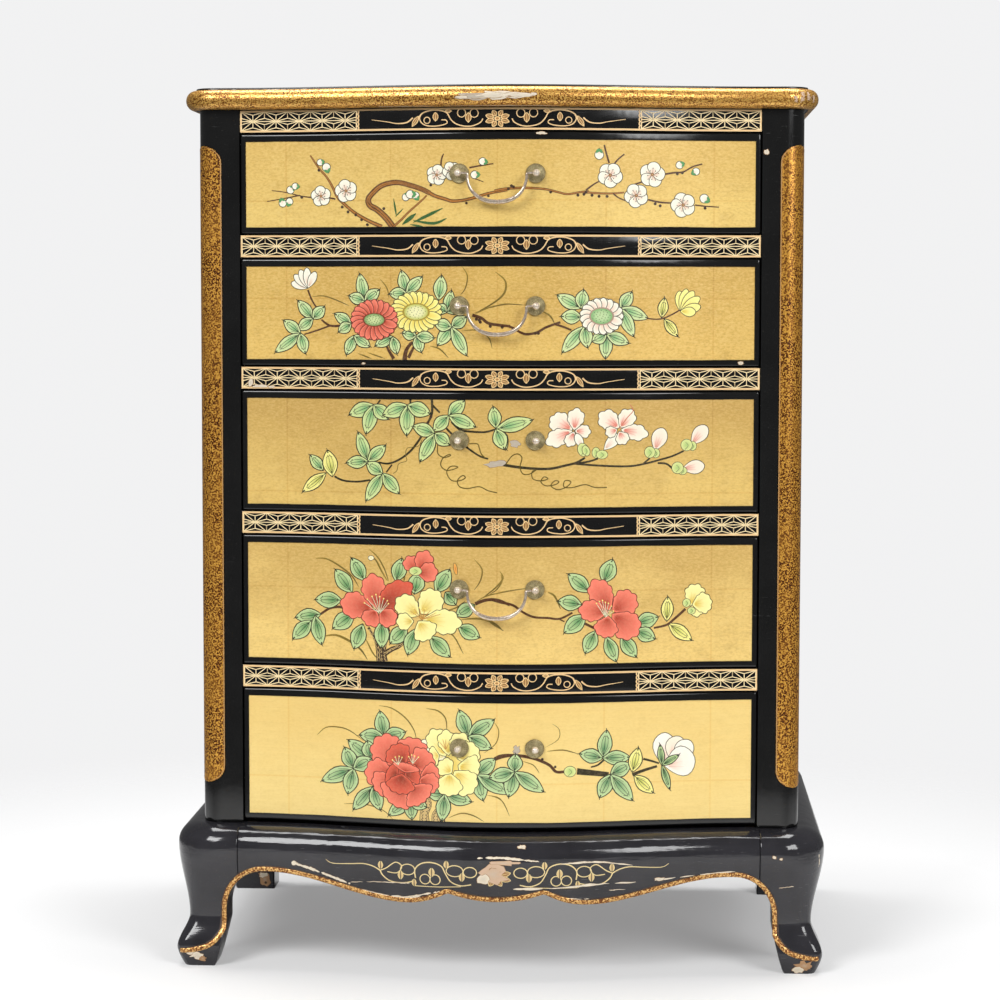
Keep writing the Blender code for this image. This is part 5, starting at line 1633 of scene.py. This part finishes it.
def makeRailStars(number, middle, rise, start):
    flat = latticeMesh(starPitch * mm, rise * mm)
    points, faces = [], []
    for side in (-1, 1):
        first = len(points)
        points += [tuple(onBow(side * (start + x), middle + y, z + band["raised"] * mm))
                   for x, y, z in (vertex.co for vertex in flat.vertices)]
        faces += [tuple(first + corner for corner in face.vertices) for face in flat.polygons]
    mesh = meshOf(f"rail_stars_{number}", points, faces)
    tintMesh(mesh, [starTone] * len(points))
    finishPiece(f"rail_stars_{number}", mesh, [linePaint], "chest", (), merged=False)
    bpy.data.meshes.remove(flat)


# apron: a smaller vine each side of the middle
apronVine = {"hook": [(174, 117), (167, 113.5), (150, 114), (135, 115), (125, 113), (117.5, 109)],
             "stem": [(117.5, 109), (114.5, 103.5), (106.5, 98), (93.5, 97), (83, 99.5)],
             "scroll": [(117.5, 109), (111, 112), (101.5, 118.5), (95, 114.5), (100, 107.5), (110, 108)],
             "loop": [(81, 103), (81.5, 112), (75, 118.5), (64, 120), (54.5, 116.5), (50.5, 109), (45, 100.5),
                      (35, 96.5), (24.5, 98)],
             "lower": [(83, 94.5), (59, 94.3), (35, 95.5)],
             "leaves": [((117, 110), (117, 119), 5.5), ((96.4, 100), (96.4, 110), 6),
                        ((64.5, 104.5), (64.5, 114.5), 6.5), ((82.6, 93.5), (82.6, 102), 5),
                        ((49.5, 114), (49.5, 122.5), 5.5), ((33.8, 100.5), (33.8, 110), 6)],
             "rings": [((89, 111.5), (7.4, 5.6)), ((71.3, 102.2), 5.2), ((61, 102), 5.2), ((41, 112), (8.6, 5.8)),
                       ((25.5, 111), (6.8, 5.4))], "ringLine": 1.0,
             "widths": {"hook": (0.5, 1.3), "stem": (1.3, 1.3 * 0.85), "scroll": (1.1, 1.1 * 0.85),
                        "loop": (1.3, 1.3 * 0.85), "lower": (0.8, 0.8 * 0.85)},
             "flower": ((0, 107), (3, 2.4), (17, 11), 6.5)}


def makeApronPaint():
    pad = Painter(lambda x, z, lift: onApron(x * mm, z * mm, lift))
    for side in (-1, 1):
        for name, widths in apronVine["widths"].items():
            pad.stroke(mirrored(apronVine[name], side), *widths, vineTone, steps=6)
        for centre, radius in apronVine["rings"]:
            ringStroke(pad, (side * centre[0], centre[1]), radius, apronVine["ringLine"], vineTone)
        for base, tip, width in apronVine["leaves"]:
            base, tip = mirrored((base, tip), side)
            pad.slab(leafOutline(base, tip, width, 0.0, 0.5, 0.3, 8), vineTone, mixed(vineTone, deepGold, 0.35))
            pad.stroke([base, mixed(base, tip, 0.5), tip], 1.0, 0.7, blackTone)
    drawRosette(pad, *apronVine["flower"], vineTone, mixed(deepGold, blackTone, 0.3))
    pad.piece("apron_vine", "chest", linePaint, "gilt_speckle")


def standPoint(side, x, z, out):
    # a point of the stand's front, round the leg's outer corner too
    height = max(z, 0)
    reach, radius = legReach(height), legCorner(height)
    past = x - halfWidth - (reach - radius)
    forward = reach if past <= 0 else reach - radius + math.sqrt(max(radius**2 - past**2, 0))
    return Vector((side * x, frontPlane - bow(x) - forward - out, z))


# the gilt bead along the stand's edge, and the dark line beside it
bead = {"half": 2.5 * mm, "inset": 2.6 * mm, "rise": 1.0 * mm, "bedded": -0.6 * mm, "waver": 0.08, "waverScale": 60,
        "legs": (50 * mm, 44 * mm, 39 * mm), "shadow": 1.9, "shadowOut": 0.2 * mm,
        "shadowTone": fromSrgb((46, 20, 10)), "toe": ((10, 28.5), (19, 22)),
        "toeEnd": ((4, 18.5), (13, 17), (20, 17))}


def beadPath():
    # from the middle of the apron out along its edge, down the leg and over the toe, in x and z
    spring, rise = stand["archSpring"], stand["archHigh"] - stand["archSpring"]
    edge = halfWidth - stand["ankleInner"]
    line = [(x, frontEdge(x)) for x in stepsBetween(0, edge - stand["archReach"], 90)]
    for z in [spring + rise * math.cos(a) for a in stepsBetween(0.1, quarter, 16)]:
        run = (z - spring) / rise
        line.append((edge - stand["archReach"] * (1 - math.sqrt(1 - run * run)), z))
    line += [(edge, z) for z in bead["legs"]]
    moved = []
    for here, (x, z) in enumerate(line):
        nx, nz = normalAt(line, here)
        moved.append((x + nx * bead["inset"], z + nz * bead["inset"]))
    toe = [(start + x * mm, z * mm) for start, rows in ((edge, bead["toe"]), (halfWidth, bead["toeEnd"]))
           for x, z in rows]
    return moved[:-1] + smoothPath([moved[-1]] + toe, 5)


def makeBead():
    path = beadPath()
    line, reach = path[::3], bead["half"] + bead["shadowOut"]
    shadow = []
    for here, (x, z) in enumerate(line):
        nx, nz = normalAt(line, here)
        shadow.append(((x + nx * reach) / mm, (z + nz * reach) / mm))
    for name, side in bothSides:
        rings = []
        for here, (x, z) in enumerate(path):
            nx, nz = normalAt(path, here)
            waver = 1 + bead["waver"] * noise.noise((x * bead["waverScale"], z * bead["waverScale"], side))
            section = [(bead["half"] * waver * math.cos(a), bead["rise"] * math.sin(a))
                       for a in stepsBetween(0, math.pi, 8)]
            section += [(-bead["half"], bead["bedded"]), (bead["half"], bead["bedded"])]
            rings.append([standPoint(side, x + nx * across, z + nz * across, out) for across, out in section])
        skinPiece("gilt_bead_" + name, rings, beadGilt, (), sharp=50)
        pad = Painter(lambda x, z, lift: standPoint(side, x * mm, z * mm, lift))
        pad.stroke(shadow, bead["shadow"], bead["shadow"], bead["shadowTone"], steps=1)
        pad.piece("bead_shadow_" + name, "chest", linePaint, "gilt_speckle")


latticeTree = makeLatticeTree()
for number in drawers:
    makeSpray(number)
for number in drawers:
    makeRailPaint(number)
makeApronPaint()
makeBead()
print("painting done")

# wear: chips and scrapes that show the pale ground under the lacquer; a chip is x, z, its two reaches, a seed
# and its ground, a scrape its width, a seed and then x and z by turns, in millimetres
# the hole tone is painted shade, for the depth of the nail hole
chipTones = {"ground": (226, 216, 196), "edge": (150, 112, 74), "pink": (206, 176, 150), "grey": (186, 176, 160),
             "wood": (170, 130, 92), "hole": (40, 26, 18)}
chip = {name: fromSrgb(colour) for name, colour in chipTones.items()}
wear = {"turn": 10 * mm, "lift": 0.12 * mm, "frontLift": 0.15 * mm, "rearLift": 0.1 * mm, "rough": 0.35,
        "rim": (0.5, 0.4), "scrapeRim": 0.5, "scrapeWaver": 0.8, "overlap": 0.28, "nickHeight": 13.2,
        "nickWide": 2.4, "nickHigh": 0.7, "plug": (291.7, 333.4), "plugRadii": (2.4, 1.9), "nailHole": (-290, 7),
        "nailRadius": 1.6}
mouldingChips = [(-22, -1, 15, 3.6, 1, "grey"), (-2, 0.6, 17, 4.0, 2), (20, 0.4, 14, 2.8, 3), (-34, -1.5, 5, 1.6, 4),
                 (36, 1.4, 4, 1.4, 5), (300, -1, 5, 3.2, 6, "pink"), (309, 2, 6, 4.6, 7, "pink"),
                 (318, 0, 5, 3.4, 8, "pink")]
mouldingNicks = [(-289, 11), (-268, 12), (-231, 13), (-226, 14), (-217, 15), (-196, 16), (118, 17), (214, 18)]
mouldingScrapes = [(0.7, 21, -120, -11.5, -60, -12, 10, -11.8, 70, -12.2)]
legWear = {"left": ([(310, 12, 6.5, 4.2, 31), (317, 15, 3.4, 2.2, 32), (304, 8, 3, 2.4, 33, "wood")], []),
           "right": ([(313, 9, 8, 5.6, 41, "wood"), (306, 4.5, 4.5, 3, 42), (281, 121.8, 1.6, 1.6, 43),
                      (287.7, 120, 1.5, 1.1, 44)],
                     [(0.6, 45, 286, 89, 294, 90, 301, 91), (1.3, 46, 327, 121, 328, 112, 325.5, 103),
                      (1.4, 47, 318, 17, 322, 12, 322, 6)])}
apronScrapes = [(2.8, 51, -210, 112, -194, 107.5, -179, 102.6, -163, 97, -149, 92),
                (0.7, 52, -149, 94, -121, 96.4, -87, 96.9), (1.5, 48, -139, 86.4, -114, 82.6, -93, 81.2, -76, 83.2),
                (2.0, 53, -18, 126, 4, 126.7, 24, 125, 44, 122.8), (1.2, 54, 64, 120, 104, 121, 144, 115.5),
                (1.8, 55, 18, 94, 64, 94.6, 104, 97.6, 148, 98.6), (1.4, 56, 160, 99.5, 195, 103, 245, 107),
                (1.0, 57, 66, 83.6, 80, 82.2, 94, 82), (0.9, 58, 114, 90.6, 132, 91),
                (1.3, 59, -94, 81, -76, 85, -57, 88.6, -40, 90), (0.9, 60, -36, 87, -12, 83.5, 10, 83)]
apronChips = [(26.8, 137, 3.2, 1.7, 61), (-3, 109, 14, 9.5, 62, "pink"), (-12, 104, 6, 5, 63),
              (10, 121.5, 16, 2.2, 64, "pink"), (165, 100.5, 5, 1.5, 65)]
railChips = [(-254, 600, 2.4, 3.4, 71), (-245, 596.5, 8, 1.6, 72), (-232, 596, 3, 1, 73), (268.4, 833, 2.4, 2.2, 74),
             (-136, 620.5, 1.6, 0.8, 76)]
drawerChips = {1: [(43, 849.8, 5, 1.3, 81)], 2: [(244.0, 621.3, 2.6, 1.4, 80)],
               3: [(-1, 521, 9, 3.2, 82, "grey"), (18, 541, 5, 3, 83, "grey")], 5: [(20, 231, 3.4, 4.6, 84, "grey")]}
rearLegChips = [(-291, 11, 6, 8, 91, "wood"), (-293, 16, 5, 2.6, 92)]


def chipOutline(centre, reach, seed, points=15):
    found = []
    for step in range(points):
        a = fullTurn * step / points
        swell = 1 + wear["rough"] * noise.noise((math.cos(a) * 2.1 + seed, math.sin(a) * 2.1, seed * 0.7)) * 2
        found.append(around(centre, (reach[0] * swell, reach[1] * swell), a))
    return found


def drawChips(pad, rows):
    edge = chip["edge"]
    for x, z, wide, high, seed, *ground in rows:
        base = chip[ground[0] if ground else "ground"]
        pad.slab(chipOutline((x, z), (wide + wear["rim"][0], high + wear["rim"][1]), seed), edge)
        pad.slab(chipOutline((x, z), (wide, high), seed), base, mixed(base, edge, 0.15),
                 mixed(base, chip["grey"], 0.5))


def drawScrapes(pad, rows):
    # ragged pale cracks along a path: strokes of uneven width, some touching, some apart
    for width, seed, *path in rows:
        line = smoothPath(pairs(path), 9)
        start = 0
        while start < len(line) - 2:
            run = 3 + int(7 * abs(noise.noise((seed, start * 0.37, 0.5))))
            wide = width * (0.7 + 2.0 * abs(noise.noise((start * 0.51, seed, 1.5))))
            part = [(x, z + wear["scrapeWaver"] * noise.noise((x * 0.6, start * 0.7, seed)))
                    for x, z in line[start:start + run + 1]]
            if len(part) > 2:
                pad.stroke(part, wide + wear["scrapeRim"], wide * 0.7, chip["edge"], steps=1, thinned=True)
                pad.stroke(part, wide, wide * 0.6, chip["ground"], steps=1, thinned=True)
            touching = noise.noise((seed, start * 0.9, 2.5)) < wear["overlap"]
            start += max(int(run * 0.5), 1) if touching else run + 1


def mouldingPlace(x, z, lift):
    # z runs up the bullnose from its middle; past the corner x runs on round it
    angle = z * mm / wear["turn"]
    bulge = top["bullnoseOut"] - gap - top["lip"] + lift
    out = top["slabReach"] + gap + top["lip"] + bulge * math.cos(angle)
    up = carcassTop + top["bullnoseHigh"] / 2 + (top["bullnoseHigh"] / 2 + lift) * math.sin(angle)
    flat = (halfWidth - chest["cornerRadius"]) / mm
    if abs(x) <= flat:
        return Vector((x * mm, frontPlane - bow(x * mm) - out, up))
    radius = chest["cornerRadius"] + out
    turn = min((abs(x) - flat) * mm / radius, quarter)
    return Vector((math.copysign(1, x) * (flat * mm + radius * math.sin(turn)),
                   frontPlane + chest["cornerRadius"] - radius * math.cos(turn), up))


def stripPlace(x, z, lift):
    # the right strip's face, x across the front
    turn = math.acos(min(max((x * mm - stripX) / post["stripRadius"], -1), 1))
    return Vector(stripPoint(1, math.pi / 4 - turn, z * mm, lift + wear["frontLift"]))


def makeWear():
    pad = Painter(mouldingPlace)
    drawChips(pad, mouldingChips + [(x, wear["nickHeight"], wear["nickWide"] + seed % 3, wear["nickHigh"], seed)
                                    for x, seed in mouldingNicks])
    drawScrapes(pad, mouldingScrapes)
    pad.piece("moulding_wear", "chest", gesso, "gilt_speckle")
    for name, side in bothSides:
        pad = Painter(lambda x, z, lift: standPoint(side, x * mm, z * mm, lift + wear["lift"]))
        drawChips(pad, legWear[name][0])
        drawScrapes(pad, legWear[name][1])
        pad.piece("stand_wear_" + name, "chest", gesso, "black_lacquer")
    pad = Painter(lambda x, z, lift: onApron(x * mm, z * mm, lift + wear["lift"]))
    drawScrapes(pad, apronScrapes)
    drawChips(pad, apronChips)
    pad.piece("apron_wear", "chest", gesso, "black_lacquer")
    pad = Painter(lambda x, z, lift: onBow(x * mm, z * mm, lift + wear["frontLift"]))
    drawChips(pad, railChips)
    pad.piece("front_chips", "chest", gesso, "black_lacquer")
    # a grey plug on the right strip, and a bare patch with a nail hole on the left rear leg, the hole a dark dot of
    # painted shade
    pad = Painter(stripPlace)
    outer, inner = wear["plugRadii"]
    pad.dot(wear["plug"], outer, chip["edge"], 12)
    pad.dot(wear["plug"], inner, chip["grey"], 12, chip["ground"])
    pad.piece("strip_plug", "chest", gesso, "gilt_speckle")
    face = backPlane - stand["rearDepth"]
    pad = Painter(lambda x, z, lift: Vector((x * mm, face - lift - wear["rearLift"], z * mm)))
    drawChips(pad, rearLegChips)
    # painted shade: a dark dot stands for the depth of the nail hole
    pad.dot(wear["nailHole"], wear["nailRadius"], chip["hole"], 8)
    pad.piece("rear_leg_patch", "chest", gesso, "black_lacquer")
    for number, chips in drawerChips.items():
        lower = 0 if number < 3 else front["recess"]  # on the black border, or on the gold
        pad = Painter(lambda x, z, lift: onBow(x * mm, z * mm, lift - lower))
        drawChips(pad, chips)
        pad.piece(f"drawer_wear_{number}", f"drawer_{number}", gesso, "gold_leaf")


makeWear()
print("wear done")

# the room: a pale floor, a pale backdrop, soft lamps
room = {"floor": (0.90, 0.90, 0.90), "backdrop": (0.885, 0.885, 0.89), "dim": (0.14, 0.14, 0.14),
        "floorNear": 2.2, "floorFar": 2.0, "floorWide": 2.4, "fadeStart": 0.65, "fadeEnd": 1.25, "glow": 0.30}
view = {"place": (0.1441, frontPlane - 2.7428, 0.6878), "yaw": -2.99, "pitch": 4.298, "roll": -0.07, "lens": 97.4,
        "sensor": 36}
lamps = {"key": ((-1.6, -2.6, 2.6), (0, 0, 0.45), (1.4, 1.4), 82),
         "fill": ((1.9, -2.4, 1.8), (0, 0, 0.45), (1.3, 1.3), 56),
         "above": ((0, 0.35, 2.9), (0, -0.1, 0.3), (2.4, 1.2), 84)}


def addObject(name, data):
    made = bpy.data.objects.new(name, data)
    bpy.context.scene.collection.objects.link(made)
    return made


def addMixShader(tree, share, first, second):
    return addNode(tree, "ShaderNodeMixShader", {0: share, 1: first.outputs[0], 2: second.outputs[0]})


def makeFloor():
    near, far, wide = -room["floorNear"], room["floorFar"], room["floorWide"]
    corners = [(-wide, near, 0), (wide, near, 0), (wide, far, 0), (-wide, far, 0)]
    floor = addObject("floor", meshOf("floor", corners, [(0, 1, 2, 3)]))
    # plain near the chest, where it takes the shadow, and thinning out into the backdrop
    paper, tree, shader = newFinish("paper", {"Roughness": 0.9, "Base Color": room["floor"], "Specular IOR Level": 0})
    glow = addNode(tree, "ShaderNodeEmission", {"Color": room["backdrop"]})
    seen = addNode(tree, "ShaderNodeLightPath").outputs["Is Camera Ray"]
    lifted = addMixShader(tree, addMath(tree, "MULTIPLY", seen, room["glow"]), shader, glow)
    away = addNode(tree, "ShaderNodeVectorMath", {0: addPlace(tree)}, operation="LENGTH").outputs["Value"]
    clear = addNode(tree, "ShaderNodeBsdfTransparent")
    faded = addMixShader(tree, addRange(tree, away, room["fadeStart"], room["fadeEnd"]), lifted, clear)
    setInput(tree, tree.nodes["Material Output"].inputs[0], faded.outputs[0])
    floor.data.materials.append(paper)


def makeWorld():
    world = bpy.data.worlds.new("studio")
    bpy.context.scene.world = world
    world.use_nodes = True
    tree = world.node_tree
    backdrop = tree.nodes["Background"]
    setInput(tree, backdrop.inputs["Color"], room["backdrop"])
    dim = addNode(tree, "ShaderNodeBackground", {"Color": room["dim"]})
    seen = addNode(tree, "ShaderNodeLightPath").outputs["Is Camera Ray"]
    chosen = addMixShader(tree, seen, dim, backdrop)
    setInput(tree, tree.nodes["World Output"].inputs[0], chosen.outputs[0])


def makeLamp(name, place, target, size, power):
    data = bpy.data.lights.new(name, "AREA")
    data.shape = "RECTANGLE"
    data.size, data.size_y = size
    data.energy = power
    lamp = addObject(name, data)
    lamp.location = place
    lamp.rotation_euler = (Vector(target) - Vector(place)).to_track_quat("-Z", "Y").to_euler()


def makeCamera():
    data = bpy.data.cameras.new("camera")
    data.lens, data.sensor_width = view["lens"], view["sensor"]
    camera = addObject("camera", data)
    camera.location = view["place"]
    yaw, pitch = math.radians(view["yaw"]), math.radians(view["pitch"])
    ahead = Vector((math.sin(yaw) * math.cos(pitch), math.cos(yaw) * math.cos(pitch), -math.sin(pitch)))
    roll = Euler((0, 0, -math.radians(view["roll"]))).to_quaternion()
    camera.rotation_euler = (ahead.to_track_quat("-Z", "Y") @ roll).to_euler()
    bpy.context.scene.camera = camera


makeFloor()
makeWorld()
for name, settings in lamps.items():
    makeLamp(name, *settings)
makeCamera()
bpy.context.scene.view_settings.view_transform = "Standard"
print("room lit")
